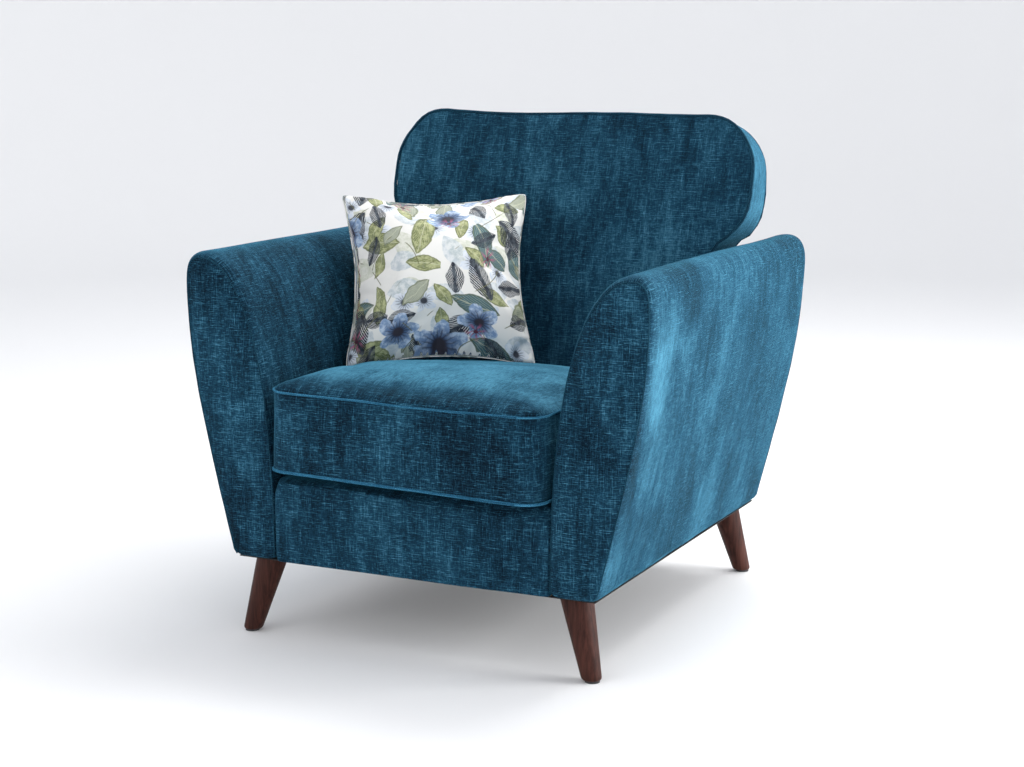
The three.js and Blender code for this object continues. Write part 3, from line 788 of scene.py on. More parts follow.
def pins_near(piece, seam_points, reach, held, grip=1.0):
    """How firmly each corner is held: 1 on a seam, fading to 0, but at least the grip if held."""
    tree = tree_of(seam_points)
    weights = []
    for vert in piece.data.vertices:
        distance = tree.find(vert.co)[2]
        weight = max(0.0, 1.0 - max(0.0, distance - 0.35 * reach) / (0.65 * reach))
        weights.append(max(weight, grip) if held(vert.co) else weight)
    return weights


def draw_to_seam(verts, seam_points, reach):
    """Pulls the corners nearest to a seam onto it, so that a sewn edge stays crisp."""
    tree = tree_of(seam_points)
    for vert in verts:
        place, _, distance = tree.find(vert.co)
        if distance < reach:
            vert.co = vert.co.lerp(place, 1.0 - (distance / reach) ** 1.5)


def prism(outline, place, depth_vector):
    """A closed block: an outline of pairs placed in space, then extruded."""
    bm = bmesh.new()
    face = bm.faces.new([bm.verts.new(place(point)) for point in outline])
    extruded = bmesh.ops.extrude_face_region(bm, geom=[face])
    bmesh.ops.translate(bm, verts=verts_in(extruded["geom"]), vec=depth_vector)
    bmesh.ops.recalc_face_normals(bm, faces=bm.faces[:])
    return bm


def settle(piece, material, seam_points, ripple, seed, painted_light_of, smooth_steps=2):
    """Smooths a simulated mesh, sharpens and gathers its seams, and lays its UV and its painted light
    and shade.
    """
    bm = bmesh.new()
    bm.from_mesh(piece.data)
    for _ in range(smooth_steps):
        bmesh.ops.smooth_vert(bm, verts=bm.verts[:], factor=0.5, **AXES)
    draw_to_seam(bm.verts, seam_points, 0.011)
    soften(bm, ripple, 5.0, seed)
    pucker(bm, seam_points, ripple, 0.05, 0.03, seed)
    project_uv(bm)
    bm.to_mesh(piece.data)
    bm.free()
    dress(piece.data, material)
    piece.data.shade_smooth()
    paint_light_and_shade(piece, painted_light_of)
    subdivide(piece)


# ---------------------------------------------------------------- outlines


def curve_points(start, handle_a, handle_b, end, count):
    knots = [Vector((*point, 0.0)) for point in (start, handle_a, handle_b, end)]
    return [Vector((p.x, p.y)) for p in interpolate_bezier(*knots, count)]


def arc_points(centre, radius, start, end, count):
    x, y = centre
    angles = [math.radians(start + (end - start) * i / (count - 1)) for i in range(count)]
    return [Vector((x + radius * math.cos(a), y + radius * math.sin(a))) for a in angles]


def arm_section():
    """The right arm's section in x and z, from its outer foot over the top to its inner foot."""
    rise = ARM_HIGH.z - UNDERSIDE
    outer = ARM_HIGH.x
    foot_outer = SEAT_HALF + ARM_FOOT_WIDTH
    flare = outer - foot_outer
    crest_x = outer - ARM_CREST_INSET
    corner_z = ARM_HIGH.z - ARM_CORNER_DROP
    outside = curve_points(
        (foot_outer, UNDERSIDE),
        (foot_outer + 0.385 * flare, UNDERSIDE + 0.26 * rise),
        (outer, UNDERSIDE + 0.64 * rise),
        (outer, corner_z),
        OUTSIDE_POINTS,
    )
    shoulder = curve_points(
        (outer, corner_z),
        (outer, ARM_HIGH.z - 0.35 * ARM_CORNER_DROP),
        (outer - 0.4 * ARM_CREST_INSET, ARM_HIGH.z),
        (crest_x, ARM_HIGH.z),
        SHOULDER_POINTS,
    )
    inside = curve_points(
        (crest_x, ARM_HIGH.z),
        (SEAT_HALF + 0.006, ARM_HIGH.z),
        (SEAT_HALF, UNDERSIDE + 0.27 * rise),
        (SEAT_HALF, UNDERSIDE),
        INSIDE_POINTS,
    )
    return [*outside[:-1], *shoulder[:-1], *inside]


def eased_foot(section, radius):
    """The arm's section closed along the underside, with both foot corners rounded."""
    body = [point for point in section if point.y > UNDERSIDE + radius]
    outer_corner = section[0]
    inner_corner = section[-1]
    across = Vector((radius, 0.0))
    inner_handles = (body[-1].lerp(inner_corner, 0.6), inner_corner + 0.4 * across)
    inner_turn = curve_points(body[-1], *inner_handles, inner_corner + across, 6)
    outer_handles = (outer_corner - 0.4 * across, outer_corner.lerp(body[0], 0.4))
    outer_turn = curve_points(outer_corner - across, *outer_handles, body[0], 6)
    return [*body, *inner_turn[1:], *outer_turn[:-1]]


def arm_inner_x(z):
    """How far out the arm's inner side is at a height."""
    inside = arm_section()[OUTSIDE_POINTS + SHOULDER_POINTS - 1 :]
    for a, b in zip(inside, inside[1:]):
        if b.y <= z <= a.y:
            share = (a.y - z) / max(a.y - b.y, 1e-9)
            return a.x + (b.x - a.x) * share
    return inside[-1].x if z < inside[-1].y else inside[0].x


def back_outline(bottom_z, gap=0.004):
    """The back's front outline in x and z, anticlockwise from its right foot."""
    neck = [Vector((arm_inner_x(bottom_z) - gap, bottom_z))]
    z = bottom_z + 0.03
    while z < 0.58:
        neck.append(Vector((min(arm_inner_x(z) - gap, BACK_NECK), z)))
        z += 0.03
    ear = [Vector(point) for point in EAR_LINE]
    top = arc_points((BACK_HIGH.x - BACK_CORNER, BACK_HIGH.z - BACK_CORNER), BACK_CORNER, 0, 90, 12)
    right = [*neck, *ear, *top]
    left = [Vector((-point.x, point.y)) for point in reversed(right)]
    return [*right, *left]


def back_rear_place(point, rear):
    """Where a point of the back's front outline comes out behind: the rear is a little smaller."""
    up = clamp((point.y - 0.74) / 0.12)
    under_ear = max(0.0, 1.0 - abs(point.y - 0.69) / 0.05) if abs(point.x) > BACK_NECK else 0.0
    low = 1.0 - smooth_share(point.y, 0.45, 0.62)
    share = 0.972 + 0.02 * under_ear + 0.026 * low
    return Vector((point.x * share, rear, point.y - 0.011 * up - 0.007 * under_ear))


def back_front(z):
    """The y of the back's front face at a height."""
    base = BACK_HIGH.y + BACK_REAR_GAP - BACK_DEPTH
    return base + max(0.0, z - BACK_BREAK) * math.tan(BACK_LEAN)


def rounded_rectangle(x_low, x_high, y_low, y_high, radius, count=7):
    corners = ((x_high, y_low), (x_high, y_high), (x_low, y_high), (x_low, y_low))
    middle = Vector((0.5 * (x_low + x_high), 0.5 * (y_low + y_high)))
    outline = []
    for start, (x, y) in zip((-90, 0, 90, 180), corners):
        centre = (x - math.copysign(radius, x - middle.x), y - math.copysign(radius, y - middle.y))
        outline.extend(arc_points(centre, radius, start, start + 90, count))
    return outline


# ---------------------------------------------------------------- pieces


def make_arm(side, sign):
    """One arm: a wrap swept from the front seam to the rear, and a swelling panel at each end."""
    s = sizes()
    outline = eased_foot(arm_section(), s.foot_radius)
    section = resampled(outline, 104)
    count = len(section)
    normals = outline_normals(section)
    foot = UNDERSIDE
    rise = ARM_HIGH.z - foot

    def inset_at(point):
        share = (point.y - foot) / rise
        return 0.003 + 0.008 * max(0.0, (share - 0.55) / 0.45) ** 1.5

    def ring(y, share):
        """The section at a depth, drawn in by a share of the seam's inset."""
        places = []
        for point, inward in zip(section, normals):
            moved = point + inward * inset_at(point) * share
            places.append(Vector((sign * moved.x, y, moved.y)))
        return places

    roll = s.arm_roll
    turn_steps = 6
    ends = []
    for i in range(turn_steps + 1):
        angle = 0.5 * math.pi * i / turn_steps
        ends.append((roll * (1 - math.cos(angle)), 1 - math.sin(angle)))
    middle_steps = 46
    reach = ARM_REAR - ARM_FRONT
    middle = [(roll + (reach - 2 * roll) * i / middle_steps, 0.0) for i in range(1, middle_steps)]
    stations = [*ends, *middle, *[(reach - y, share) for y, share in reversed(ends)]]
    stations = [(ARM_FRONT + y, share) for y, share in stations]

    bm = bmesh.new()
    uv = bm.loops.layers.uv.new(UV_NAME)
    order = bm.verts.layers.int.new("order")
    lengths = [0.0]
    for a, b in zip(section, section[1:] + section[:1]):
        lengths.append(lengths[-1] + (b - a).length)

    start = []
    for k, place in enumerate(ring(*stations[0])):
        vert = bm.verts.new(place)
        vert[order] = k
        start.append(vert)
    edges = [bm.edges.new((a, b)) for a, b in zip(start, start[1:] + start[:1])]

    def extend(edges, place_of):
        """Extrudes a closed row of edges and puts each new corner in its place."""
        made = bmesh.ops.extrude_edge_only(bm, edges=edges)["geom"]
        fresh = verts_in(made)
        for vert in fresh:
            vert.co = place_of(vert[order])
        faces = [item for item in made if isinstance(item, bmesh.types.BMFace)]
        return edges_between(made, fresh), faces

    for station in stations[1:]:
        places = ring(*station)
        edges, faces = extend(edges, places.__getitem__)
        for face in faces:
            closing = {vert[order] for vert in face.verts} == {0, count - 1}
            for loop in face.loops:
                k = loop.vert[order]
                loop[uv].uv = (loop.vert.co.y, lengths[-1] if closing and k == 0 else lengths[k])

    def close_end(row, y_seam, outwards):
        """Closes one end with rings that shrink onto the arm's spine, and swells it."""
        seam = ring(y_seam, 1.0)
        spine = []
        for place in seam:
            z = clamp(place.z, foot + 0.044, ARM_HIGH.z - 0.075)
            outer = max(p.x for p in section if abs(p.y - z) < 0.02)
            spine.append(Vector((sign * 0.5 * (arm_inner_x(z) + outer), y_seam, z)))
        for share in (0.04, 0.10, 0.18, 0.30, 0.45, 0.62, 0.80, 1.0):
            swell = s.arm_puff * (1.0 - (1.0 - min(1.0, 1.8 * share)) ** 2.4)

            def place_of(k):
                place = seam[k].lerp(spine[k], share)
                place.y = y_seam + outwards * swell
                return place

            row, faces = extend(row, place_of)
            for face in faces:
                for loop in face.loops:
                    loop[uv].uv = (loop.vert.co.x, loop.vert.co.z)

    close_end(edges, ARM_REAR, 1)
    open_edges = [edge for edge in bm.edges if edge.is_boundary]
    first_row = [edge for edge in open_edges if all(vert in start for vert in edge.verts)]
    close_end(first_row, ARM_FRONT, -1)
    bmesh.ops.remove_doubles(bm, verts=bm.verts[:], dist=2e-4)
    bm.verts.layers.int.remove(bm.verts.layers.int["order"])
    bmesh.ops.recalc_face_normals(bm, faces=bm.faces[:])
    seams = [*dense(ring(ARM_FRONT, 1.0), 0.006), *dense(ring(ARM_REAR, 1.0), 0.006)]
    soften(bm, 0.0014, 5.0, 3.0 * sign)
    pucker(bm, seams, 0.0016, 0.05, 0.030, 5.0 * sign, floor=foot)
    rear_shift = -0.005 if sign > 0 else 0.003
    for vert in bm.verts:
        vert.co.z = max(vert.co.z, foot - 0.002)
        behind = smooth_share(vert.co.y, 0.0, 0.36)
        vert.co.z += rear_shift * behind * smooth_share(vert.co.z, 0.45, ARM_HIGH.z)
    piece = new_piece(f"arm_upholstery_{side}", bm, chenille())

    def painted_light_of(co, n):
        """Painted shade on the inner side and the ends; painted light on the outer side, in bands and
        patches, fading towards the rear.
        """
        outer = smooth_share(sign * n.x + 0.6 * max(0.0, n.z), 0.2, 0.7)
        behind = co.y - ARM_FRONT
        band = 0.16 * smooth_share(behind, 0.012, 0.040)
        band *= 1.0 - smooth_share(behind, 0.060, 0.150)
        patch = 0.30 * noise.noise(Vector((co.y * 9.0, co.z * 5.0, 4.0 * sign)))
        rear = 0.10 * smooth_share(co.y, 0.12, ARM_REAR)
        side = 0.085 + band + patch - rear
        return outer * side - 0.06 * max(0.0, -sign * n.x) - 0.09 * abs(n.y) ** 2

    paint_light_and_shade(piece, painted_light_of)
    subdivide(piece)
    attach(piece, "root")
    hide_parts(f"arm_cover_{side}", f"arm_padding_{side}")
    for end, y, outwards in (("front", ARM_FRONT, -1), ("rear", ARM_REAR, 1)):
        line = [place for place in ring(y, 0.94) if place.z > foot + 0.004]
        path = [place + Vector((0.0, outwards * 0.0006, 0.0)) for place in from_gap(line)]
        cloth = chenille("chenille_seam", 0.9, False)
        seam = rope(f"arm_seam_{end}_{side}", path, s.seam_radius, cloth, waver=CORD_WAVER)
        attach(seam, "root")


def make_front_rail():
    """The padded panel under the seat cushion, between the arms."""
    half = RAIL_HIGH.x
    front = RAIL_LOW.y - 0.001
    low, high = UNDERSIDE - 0.0015, RAIL_HIGH.z

    def rail_top(x, behind):
        """The front's top edge, which the stuffing leaves a little higher on the left."""
        lean = 0.007 * math.cos(math.pi * clamp((x + 0.12) / 0.26))
        return high + lean * (1.0 - behind) + 0.0015 * behind

    def outline_of(radius, width, behind):
        """The panel's outline with both top corners rounded."""
        outline = [Vector((-width, low)), Vector((width, low))]
        for start, side in ((0, 1), (90, -1)):
            turn = arc_points((side * (width - radius), 0.0), radius, start, start + 90, 8)
            outline.extend(Vector((p.x, rail_top(p.x, behind) - radius + p.y)) for p in turn)
            if side > 0:
                steps = 24
                reach = width - radius
                across = [reach * (1.0 - 2.0 * i / steps) for i in range(1, steps)]
                outline.extend(Vector((x, rail_top(x, behind))) for x in across)
        return dense(outline, 0.012)

    count = 110
    depth = RAIL_HIGH.y - front
    tight = resampled(outline_of(0.004, half + 0.004, 1.0), count)

    def eased(point):
        """The front edge lies lower than the top, so that the panel rolls over the rail."""
        return point.y - 0.012 * smooth_share(point.y, high - 0.04, high)

    round_front = resampled(outline_of(0.026, half, 0.0), count)
    front_line = [Vector((p.x, front, eased(p))) for p in round_front]
    rear_line = [Vector((p.x, front + depth, p.y)) for p in tight]
    middle = resampled(outline_of(0.010, half + 0.004, 0.6), count)
    middle_line = [Vector((p.x, front + 0.012, p.y)) for p in middle]
    run_depths = (0.010, 0.018, 0.026, 0.034, 0.042, 0.050, 0.060)
    runs = [[Vector((p.x, front + y, p.y)) for p in tight] for y in run_depths]
    piece = padded_block("front_rail_panel", (front_line, middle_line, rear_line), 0.008)
    seams = dense(front_line, SEAM_SPACING) + dense(rear_line, SEAM_SPACING)
    for run in runs:
        rolled = run is runs[0]
        for place in dense(run, SEAM_SPACING):
            if place.z < low + 0.004 or (place.z > high - 0.03 and not rolled):
                seams.append(place)
    draw_to_seam(piece.data.vertices, seams, 0.007)
    weights = pins_near(piece, seams, 0.016, lambda co: co.y > front + 0.010)
    inflate(piece, 3.5, 16, 0.010, weights)
    # A little painted shade over the whole panel
    settle(piece, chenille(), seams, 0.0012, 21.0, lambda co, n: -0.02)
    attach(piece, "root")
    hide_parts("front_cover", "front_padding")


def make_back():
    """The fixed back: a T-shaped padded block that leans, piped round its front and rear edges."""
    s = sizes()
    bottom = BACK_LOW.z
    rear = OUTSIDE_LOW.y - 0.0004
    outline = dense(back_outline(bottom), 0.02)

    def front_place(point):
        """The sewn front edge, whose top wanders a little."""
        top = clamp((point.y - 0.88) / 0.03)
        wander = 0.001 + 0.0045 * (point.x / 0.3) ** 2 + 0.0022 * math.sin(point.x * 14.0 + 0.6)
        return Vector((point.x - 0.004, back_front(point.y), point.y + wander * top))

    front_line = [front_place(point) for point in outline]
    rear_line = [back_rear_place(point, rear) for point in outline]
    piece = padded_block("back_upholstery", (front_line, rear_line), s.back_voxel)
    seams = dense(front_line, SEAM_SPACING) + dense(rear_line, SEAM_SPACING)
    draw_to_seam(piece.data.vertices, seams, 0.012)
    half = BACK_HIGH.x
    for vert in piece.data.vertices:
        co = vert.co
        ahead = 1.0 - min(1.0, (co.y - back_front(co.z)) / 0.03)
        if ahead > 0:
            co.y -= 0.010 * ahead * (dome(co.x, half) * dome(co.z - 0.66, 0.27)) ** 0.5
    weights = pins_near(piece, seams, 0.020, lambda co: co.y > rear - 0.012)
    inflate(piece, 4.0, 18, 0.022, weights)

    # Painted light on the back's front face, and more on its sides above 0.66 m
    def painted_light_of(co, n):
        return 0.11 * max(0.0, -n.y) + 0.42 * abs(n.x) ** 2 * smooth_share(co.z, 0.66, 0.72)

    settle(piece, chenille(), seams, 0.002, 8.0, painted_light_of)
    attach(piece, "root")
    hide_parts("back_cover", "back_foam")

    radius = s.piping_radius
    inward = outline_normals(outline)
    for end, line, outwards in (("front", front_line, -0.3), ("rear", rear_line, 0.3)):
        path = []
        for place, n in zip(line, inward):
            if place.z > bottom + 0.012:
                path.append(place + radius * Vector((0.8 * n.x, outwards, 0.8 * n.y)))
        # Painted shade: the back's piping is the cover's cloth made a little darker
        cloth = chenille("chenille_piping", 0.85, False)
        cord = rope(f"back_piping_{end}_cord", from_gap(path), radius, cloth, waver=CORD_WAVER)
        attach(cord, "root")
        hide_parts(f"back_piping_{end}")
    make_outside_back([Vector((place.x, place.z)) for place in rear_line])


def make_outside_back(outline):
    """The flat panel that closes the back behind, from the top down to the underside."""
    foot = UNDERSIDE + 0.001
    half = SEAT_HALF + 0.001
    thickness = 0.014
    rear = OUTSIDE_HIGH.y
    turn = BACK_LOW.z - 0.02
    upper = [p for p in outline if p.y > BACK_LOW.z + 0.002]
    right, left = ([Vector((x, foot)), Vector((x, turn))] for x in (half, -half))
    shape = dense([*right, *upper, *reversed(left)], 0.02)
    bm = prism(shape, lambda p: Vector((p.x, rear - thickness, p.y)), Vector((0.0, thickness, 0.0)))
    piece = new_piece("outside_back_panel", bm, chenille())
    remeshed(piece, 0.008)
    seams = dense([Vector((p.x, rear, p.y)) for p in shape], SEAM_SPACING)
    draw_to_seam(piece.data.vertices, seams, 0.009)
    for vert in piece.data.vertices:
        if vert.co.y > rear - 0.003:
            swell = dome(vert.co.x, 0.36) * dome(vert.co.z - 0.53, 0.40)
            vert.co.y += 0.005 * swell**0.5
    settle(piece, chenille(), seams, 0.001, 33.0, lambda co, n: 0.0, smooth_steps=1)
    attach(piece, "root")
    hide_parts("outside_back")


def make_seat_cushion():
    """The loose seat cushion: boxed, crowned and piped round its top and bottom edges."""
    s = sizes()
    half = SEAT_HALF - 0.004
    front, rear = SEAT_LOW.y, SEAT_HIGH.y + 0.004
    plan = dense(rounded_rectangle(-half, half, front, rear, 0.040), 0.012)
    low_z = SEAT_LOW.z + 0.006
    high_z = SEAT_HIGH.z - 0.016

    def rear_drop(y):
        """The used cushion is thinner towards the back."""
        return 0.050 * smooth_share(y, -0.24, 0.16)

    def edge_place(point, top):
        """The piped edge, which dips to the right in front and wanders as it goes round."""
        share = clamp((point.x + half) / (1.7 * half))
        ahead = max(0.0, 1.0 - (point.y - front) / 0.25)
        wander = 0.002 * noise.noise(Vector((point.x * 6.0, point.y * 6.0, 8.0 if top else 2.0)))
        if top:
            dip = 0.007 * math.sin(0.5 * math.pi * share) * ahead + rear_drop(point.y)
            return Vector((point.x, point.y, high_z + 0.003 * ahead - dip + wander))
        lift = (0.014 - 0.012 * share) * ahead
        return Vector((point.x, point.y - 0.006 * ahead, low_z + lift + wander))

    top_line = [edge_place(point, True) for point in plan]
    low_line = [edge_place(point, False) for point in plan]
    piece = padded_block("seat_cushion", (low_line, top_line), s.seat_voxel)
    seams = dense(top_line, SEAM_SPACING) + dense(low_line, SEAM_SPACING)
    draw_to_seam(piece.data.vertices, seams, 0.012)
    shoulder = 0.060
    for vert in piece.data.vertices:
        co = vert.co
        if co.z > high_z - 0.014 - rear_drop(co.y):
            edge = min(half - abs(co.x), co.y - front, rear - co.y)
            near = 1.0 - clamp(edge / shoulder)
            crown = dome(co.x, half) * dome(co.y + 0.16, 0.40)
            co.z += s.seat_crown * (0.72 * math.sqrt(1.0 - near**2) + 0.28 * crown)
    weights = pins_near(piece, seams, 0.018, lambda co: co.z < low_z + 0.006, grip=0.8)
    inflate(piece, 4.0, 18, 0.016, weights)
    for vert in piece.data.vertices:
        co = vert.co
        if co.y > ARM_FRONT - 0.006:
            limit = arm_inner_x(co.z) - 0.001
            co.x = clamp(co.x, -limit, limit)
        co.z = max(co.z, DECK_HIGH.z + 0.004)

    def painted_light_of(co, n):
        """Painted light on the top in soft patches, with painted shade beside its front edge and on
        the front face.
        """
        ahead = smooth_share(co.y - front, 0.015, 0.085)
        patch = 0.26 * noise.noise(Vector((co.x * 11.0, co.y * 14.0, 2.0)))
        return (0.04 + 0.52 * ahead + patch * ahead) * max(0.0, n.z) - 0.09 * max(0.0, -n.y)

    settle(piece, chenille(), seams, 0.0022, 13.0, painted_light_of)
    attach(piece, "seat_cushion")
    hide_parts("seat_cushion_cover", "seat_cushion_foam")
    inward = outline_normals(plan)
    for edge, line, lift in (("top", top_line, 0.3), ("bottom", low_line, -0.3)):
        radius = s.piping_radius * (0.62 if edge == "top" else 0.85)
        path = [
            place + Vector((0.15 * radius * n.x, 0.15 * radius * n.y, lift * radius))
            for place, n in zip(line, inward)
        ]
        # Painted highlight: the seat's piping is the cover's cloth made much lighter
        cloth = chenille("chenille_piping_seat_painted_highlight", 3.2, False)
        cord = rope(f"seat_piping_{edge}_cord", path, radius, cloth, closed=True, waver=CORD_WAVER)
        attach(cord, "seat_cushion")
        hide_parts(f"seat_piping_{edge}")


def make_scatter_cushion():
    """The loose scatter cushion: two panels sewn at their edges and plumped as cloth."""
    s = sizes()
    half = 0.5 * s.scatter_side
    cells = 64
    pull = 0.15  # how far the middle of each side is drawn in
    bm = bmesh.new()
    bmesh.ops.create_grid(bm, x_segments=cells, y_segments=cells, size=half)
    extruded = bmesh.ops.extrude_face_region(bm, geom=bm.faces[:])
    bmesh.ops.translate(bm, verts=verts_in(extruded["geom"]), vec=Vector((0.0, 0.0, 0.004)))
    bmesh.ops.recalc_face_normals(bm, faces=bm.faces[:])
    layer = bm.loops.layers.uv.new(UV_NAME)
    for face in bm.faces:
        for loop in face.loops:
            co = loop.vert.co
            loop[layer].uv = (co.x + (1.3 if co.z > 0.003 else 0.0), co.y)
    border = []
    for vert in bm.verts:
        x, y = vert.co.x / half, vert.co.y / half
        rise = (max(0.0, 1.0 - x * x) * max(0.0, 1.0 - y * y)) ** 0.42
        face = 1.0 if vert.co.z > 0.003 else -1.0
        if max(abs(x), abs(y)) > 0.9999 and face > 0:
            border.append((math.atan2(y, x), vert))
        blunt = 1.0 - 0.045 * (x * y) ** 10
        vert.co.x = half * x * (1.0 - pull * (1.0 - y * y) * abs(x) ** 1.5) * blunt
        vert.co.y = half * y * (1.0 - pull * (1.0 - x * x) * abs(y) ** 1.5) * blunt
        vert.co.z = face * (0.001 + s.scatter_plump * rise)
    put_in_order(bm)
    border = [vert.index for _, vert in sorted(border, key=lambda item: item[0])]
    piece = new_piece("scatter_cushion", bm, botanical_print())
    held = [0.0] * len(piece.data.vertices)
    edge_tree = tree_of([piece.data.vertices[i].co for i in border])
    for vert in piece.data.vertices:
        distance = edge_tree.find(vert.co)[2]
        held[vert.index] = max(0.0, 1.0 - distance / 0.010)
    inflate(piece, 2.5, 24, 0.03, held, stiffness=12.0, bending=0.15, growth=0.06)
    tilt = math.radians(90) - s.scatter_lean
    turn = Matrix.Rotation(s.scatter_yaw, 4, "Z") @ Matrix.Rotation(tilt, 4, "X")
    place = Matrix.Translation(Vector((-0.111, -0.0485, SEAT_HIGH.z - 0.022)))
    piece.data.transform(place @ turn @ Matrix.Translation(Vector((0.0, half, 0.0))))
    bm = bmesh.new()
    bm.from_mesh(piece.data)
    soften(bm, 0.0012, 14.0, 41.0)
    bm.to_mesh(piece.data)
    bm.free()
    path = [piece.data.vertices[i].co.copy() for i in border]
    subdivide(piece)
    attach(piece, "scatter_cushion")
    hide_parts("scatter_cover", "scatter_filling", "scatter_zip")
    seam = rope("scatter_seam", path, 0.0010, botanical_print_edge(), closed=True)
    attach(seam, "scatter_cushion")


def botanical_print_edge():
    f = Finish("print_edge")
    x, y, z = f.coordinates("Object")
    mottle = f.noise(f.vector(x * 40.0, y * 40.0, z * 40.0), 1.0, 2.0)
    colour = f.mix(mottle.step(0.5, 0.62), tuple(colours().print_ground), (0.20, 0.25, 0.24))
    return f.finish(colour, 0.8)


def leg_rings(name):
    """The centre and the radius of a leg's foot and of its top, measured on the frame."""
    low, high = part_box(name)
    corners = [vert.co for vert in frame["nodes"][name].data.vertices]
    rings = []
    for z in (low.z, high.z):
        level = [co for co in corners if abs(co.z - z) < 0.001]
        x_low, x_high = min(co.x for co in level), max(co.x for co in level)
        y_low, y_high = min(co.y for co in level), max(co.y for co in level)
        centre = Vector((0.5 * (x_low + x_high), 0.5 * (y_low + y_high), z))
        rings.append((centre, 0.5 * (y_high - y_low)))
    return rings


def make_leg(end, side):
    """A turned, tapered leg that leans out, cut level at the top and eased at the foot."""
    name = f"leg_{end}_{side}"
    (foot, foot_radius), (top, top_radius) = leg_rings(name)
    eased_foot_rings = [(0.0, 0.90), (0.012, 0.965), (0.03, 1.0)]
    shaft_rings = [(0.03 + 0.95 * i / 10, 1.0) for i in range(1, 11)]
    top_rings = [(0.993, 0.995), (1.0, 0.985)]
    bm = bmesh.new()
    current = bmesh.ops.create_circle(bm, cap_ends=False, segments=48, radius=1.0)["verts"]
    edges = bm.edges[:]
    bm.faces.new(current)
    last_centre = Vector()
    for i, (share, ease) in enumerate([*eased_foot_rings, *shaft_rings, *top_rings]):
        if i > 0:
            made = bmesh.ops.extrude_edge_only(bm, edges=edges)["geom"]
            current = verts_in(made)
            edges = edges_between(made, current)
        centre = foot.lerp(top, share)
        radius = (foot_radius + (top_radius - foot_radius) * share) * ease
        for vert in current:
            vert.co = centre + (vert.co - last_centre).normalized() * radius
        last_centre = centre
    bmesh.ops.contextual_create(bm, geom=edges)
    piece = new_piece(f"{name}_turned", bm, bpy.data.materials.get("stained_walnut") or walnut())
    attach(piece, "root")
    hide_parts(name)


def finish_hidden_nodes():
    """Gives the frame, fillings, fastenings and linings their own finishes."""
    plain_finishes = {
        "fibre": ("fibre_wadding", (0.72, 0.70, 0.66), (0.90, 0.89, 0.86), 90.0, 0.95, 0.6),
        "foam": ("upholstery_foam", (0.62, 0.52, 0.28), (0.78, 0.70, 0.45), 300.0, 0.95, 0.4),
        "webbing": ("jute_webbing", (0.22, 0.15, 0.08), (0.42, 0.31, 0.18), 260.0, 0.95, 0.5),
        "lining": ("black_lining", (0.01, 0.01, 0.011), (0.03, 0.03, 0.032), 420.0, 0.95, 0.3),
        "steel": ("zinc_plate", (0.42, 0.43, 0.45), (0.60, 0.61, 0.62), 120.0, 0.35, 0.1, 1.0),
        "glide": ("moulded_nylon", (0.015, 0.015, 0.016), (0.03, 0.03, 0.03), 200.0, 0.45, 0.1),
    }
    finishes = {slot: plain_finish(*settings) for slot, settings in plain_finishes.items()}
    finishes["timber"] = sawn_timber()
    for entry in frame["record"]["subparts"]:
        finish = finishes.get(entry["material_slot"])
        if finish is None:
            continue
        dress(frame["nodes"][entry["node"]].data, finish)


# ---------------------------------------------------------------- stage

CAMERA_YAW = math.radians(25.707)
CAMERA_PITCH = math.radians(10.096)
CAMERA_PLACE = Vector((1.5617, -3.2162, 1.0607))
CAMERA_LENS = 67.82


def make_camera():
    data = bpy.data.cameras.new("camera")
    data.lens = CAMERA_LENS
    data.sensor_width = 36.0
    camera = new_object("camera", data)
    camera.location = CAMERA_PLACE
    camera.rotation_euler = Euler((math.pi / 2 - CAMERA_PITCH, 0.0, CAMERA_YAW))
    bpy.context.scene.camera = camera


def make_light(name, place, target, size, power, colour=(1.0, 1.0, 1.0)):
    data = bpy.data.lights.new(name, "AREA")
    data.shape = "RECTANGLE"
    data.size, data.size_y = size
    data.energy = power
    data.color = colour
    light = new_object(name, data)
    light.location = place
    aim = Vector(target) - Vector(place)
    light.rotation_euler = aim.to_track_quat("-Z", "Y").to_euler()


def make_floor():
    """A pale floor that rises into a round backdrop, made by spinning its profile."""
    material = Finish("studio_floor").finish((0.90, 0.90, 0.90), 0.9)
    reach, curve, height = 5.5, 2.0, 6.0
    profile = [Vector((0.02, 0.0)), Vector((reach, 0.0))]
    profile += arc_points((reach, curve), curve, -90, 0, 10)[1:]
    profile.append(Vector((reach + curve, height)))
    bm = bmesh.new()
    verts = [bm.verts.new((p.x, 0.0, p.y)) for p in profile]
    edges = [bm.edges.new((a, b)) for a, b in zip(verts, verts[1:])]
    bmesh.ops.spin(
        bm,
        geom=verts + edges,
        cent=(0.0, 0.0, 0.0),
        axis=(0.0, 0.0, 1.0),
        angle=2.0 * math.pi,
        steps=72,
        use_merge=True,
    )
    pole = [edge for edge in bm.edges if edge.is_boundary and edge.verts[0].co.z < 0.1]
    bmesh.ops.holes_fill(bm, edges=pole)
    floor = new_piece("studio_floor", bm, material)
    floor.data.flip_normals()


def make_world():
    world = bpy.data.worlds.new("studio")
    world.use_nodes = True
    background = world.node_tree.nodes["Background"]
    background.inputs["Color"].default_value = (0.93, 0.95, 1.0, 1.0)
    background.inputs["Strength"].default_value = 0.9
    bpy.context.scene.world = world
    bpy.context.scene.view_settings.view_transform = "Standard"


# ---------------------------------------------------------------- operators


class ArmchairOperator(bpy.types.Operator):
    """What every operator of this add-on shares."""

    bl_options = {"REGISTER", "UNDO"}

    def execute(self, context):
        self.build()
        return {"FINISHED"}


class ARMCHAIR_OT_stage(ArmchairOperator):
    """Set up the floor, the lights and the camera"""

    bl_idname = "armchair.stage"
    bl_label = "Stage"

    def build(self):
        make_camera()
        make_world()
        make_floor()
        make_light("key", (3.4, 0.9, 0.95), (0.3, 0.0, 0.4), (1.8, 1.6), 122.0)
        make_light("top", (0.5, 1.6, 3.0), (0.0, 0.0, 0.4), (2.4, 1.4), 70.0)
        make_light("fill", (-1.2, -3.4, 1.5), (0.0, 0.0, 0.5), (2.6, 2.0), 26.0)


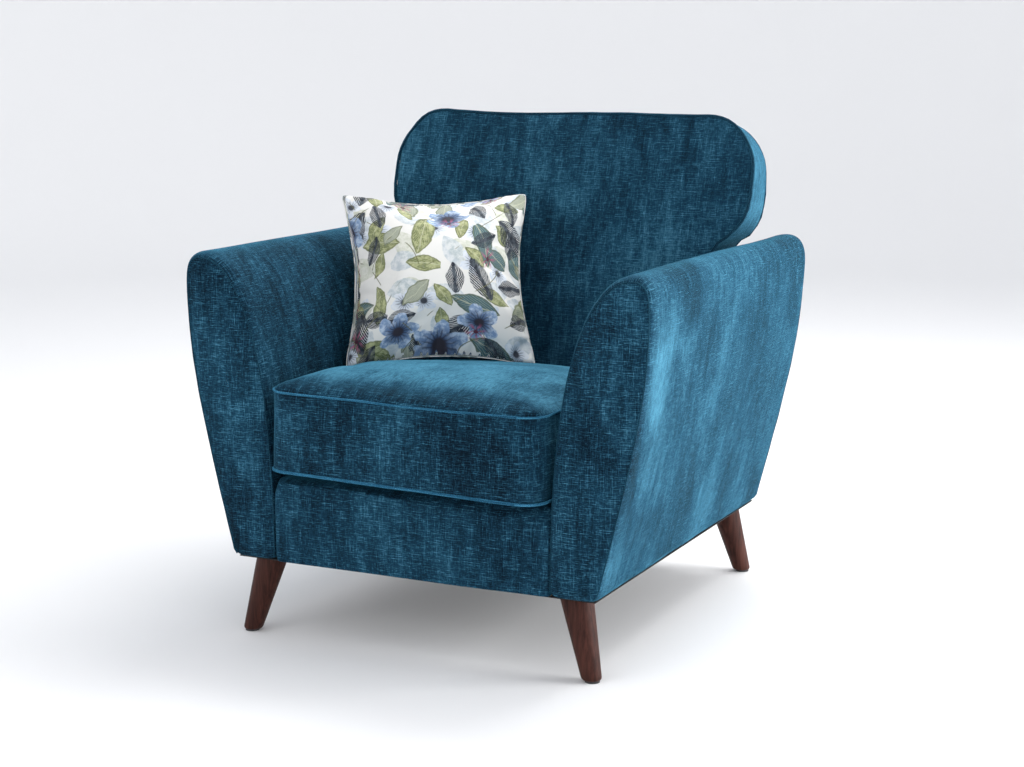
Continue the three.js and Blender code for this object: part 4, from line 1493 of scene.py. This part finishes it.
class ARMCHAIR_OT_arms(ArmchairOperator):
    """Upholster both arms"""

    bl_idname = "armchair.arms"
    bl_label = "Arms"

    def build(self):
        make_arm("left", -1)
        make_arm("right", 1)


class ARMCHAIR_OT_back(ArmchairOperator):
    """Upholster and pipe the back"""

    bl_idname = "armchair.back"
    bl_label = "Back"

    def build(self):
        make_back()


class ARMCHAIR_OT_front_rail(ArmchairOperator):
    """Pad the front rail"""

    bl_idname = "armchair.front_rail"
    bl_label = "Front rail"

    def build(self):
        make_front_rail()


class ARMCHAIR_OT_seat_cushion(ArmchairOperator):
    """Make the loose seat cushion and its piping"""

    bl_idname = "armchair.seat_cushion"
    bl_label = "Seat cushion"

    def build(self):
        make_seat_cushion()


class ARMCHAIR_OT_scatter_cushion(ArmchairOperator):
    """Make the loose scatter cushion"""

    bl_idname = "armchair.scatter_cushion"
    bl_label = "Scatter cushion"

    def build(self):
        make_scatter_cushion()


class ARMCHAIR_OT_legs(ArmchairOperator):
    """Turn the four legs"""

    bl_idname = "armchair.legs"
    bl_label = "Legs"

    def build(self):
        for end in ("front", "rear"):
            for side in ("left", "right"):
                make_leg(end, side)


class ARMCHAIR_OT_hidden_frame(ArmchairOperator):
    """Finish the timber, fillings, springs and linings"""

    bl_idname = "armchair.hidden_frame"
    bl_label = "Hidden frame"

    def build(self):
        finish_hidden_nodes()


OPERATORS = (
    ARMCHAIR_OT_stage,
    ARMCHAIR_OT_hidden_frame,
    ARMCHAIR_OT_arms,
    ARMCHAIR_OT_front_rail,
    ARMCHAIR_OT_back,
    ARMCHAIR_OT_seat_cushion,
    ARMCHAIR_OT_scatter_cushion,
    ARMCHAIR_OT_legs,
)


class ARMCHAIR_PT_panel(bpy.types.Panel):
    """The add-on's panel in the sidebar"""

    bl_label = "Armchair"
    bl_space_type = "VIEW_3D"
    bl_region_type = "UI"
    bl_category = "Armchair"

    def draw(self, context):
        for settings in (context.scene.armchair_sizes, context.scene.armchair_colours):
            for name in settings.__annotations__:
                self.layout.prop(settings, name)
        for operator in OPERATORS:
            self.layout.operator(operator.bl_idname)


CLASSES = (ArmchairSizes, ArmchairColours, *OPERATORS, ARMCHAIR_PT_panel)


def register():
    for cls in CLASSES:
        bpy.utils.register_class(cls)
    bpy.types.Scene.armchair_sizes = bpy.props.PointerProperty(type=ArmchairSizes)
    bpy.types.Scene.armchair_colours = bpy.props.PointerProperty(type=ArmchairColours)


def unregister():
    del bpy.types.Scene.armchair_colours
    del bpy.types.Scene.armchair_sizes
    for cls in reversed(CLASSES):
        bpy.utils.unregister_class(cls)


def main():
    register()
    for operator in OPERATORS:
        group, name = operator.bl_idname.split(".")
        getattr(getattr(bpy.ops, group), name)()


if __name__ == "__main__":
    main()
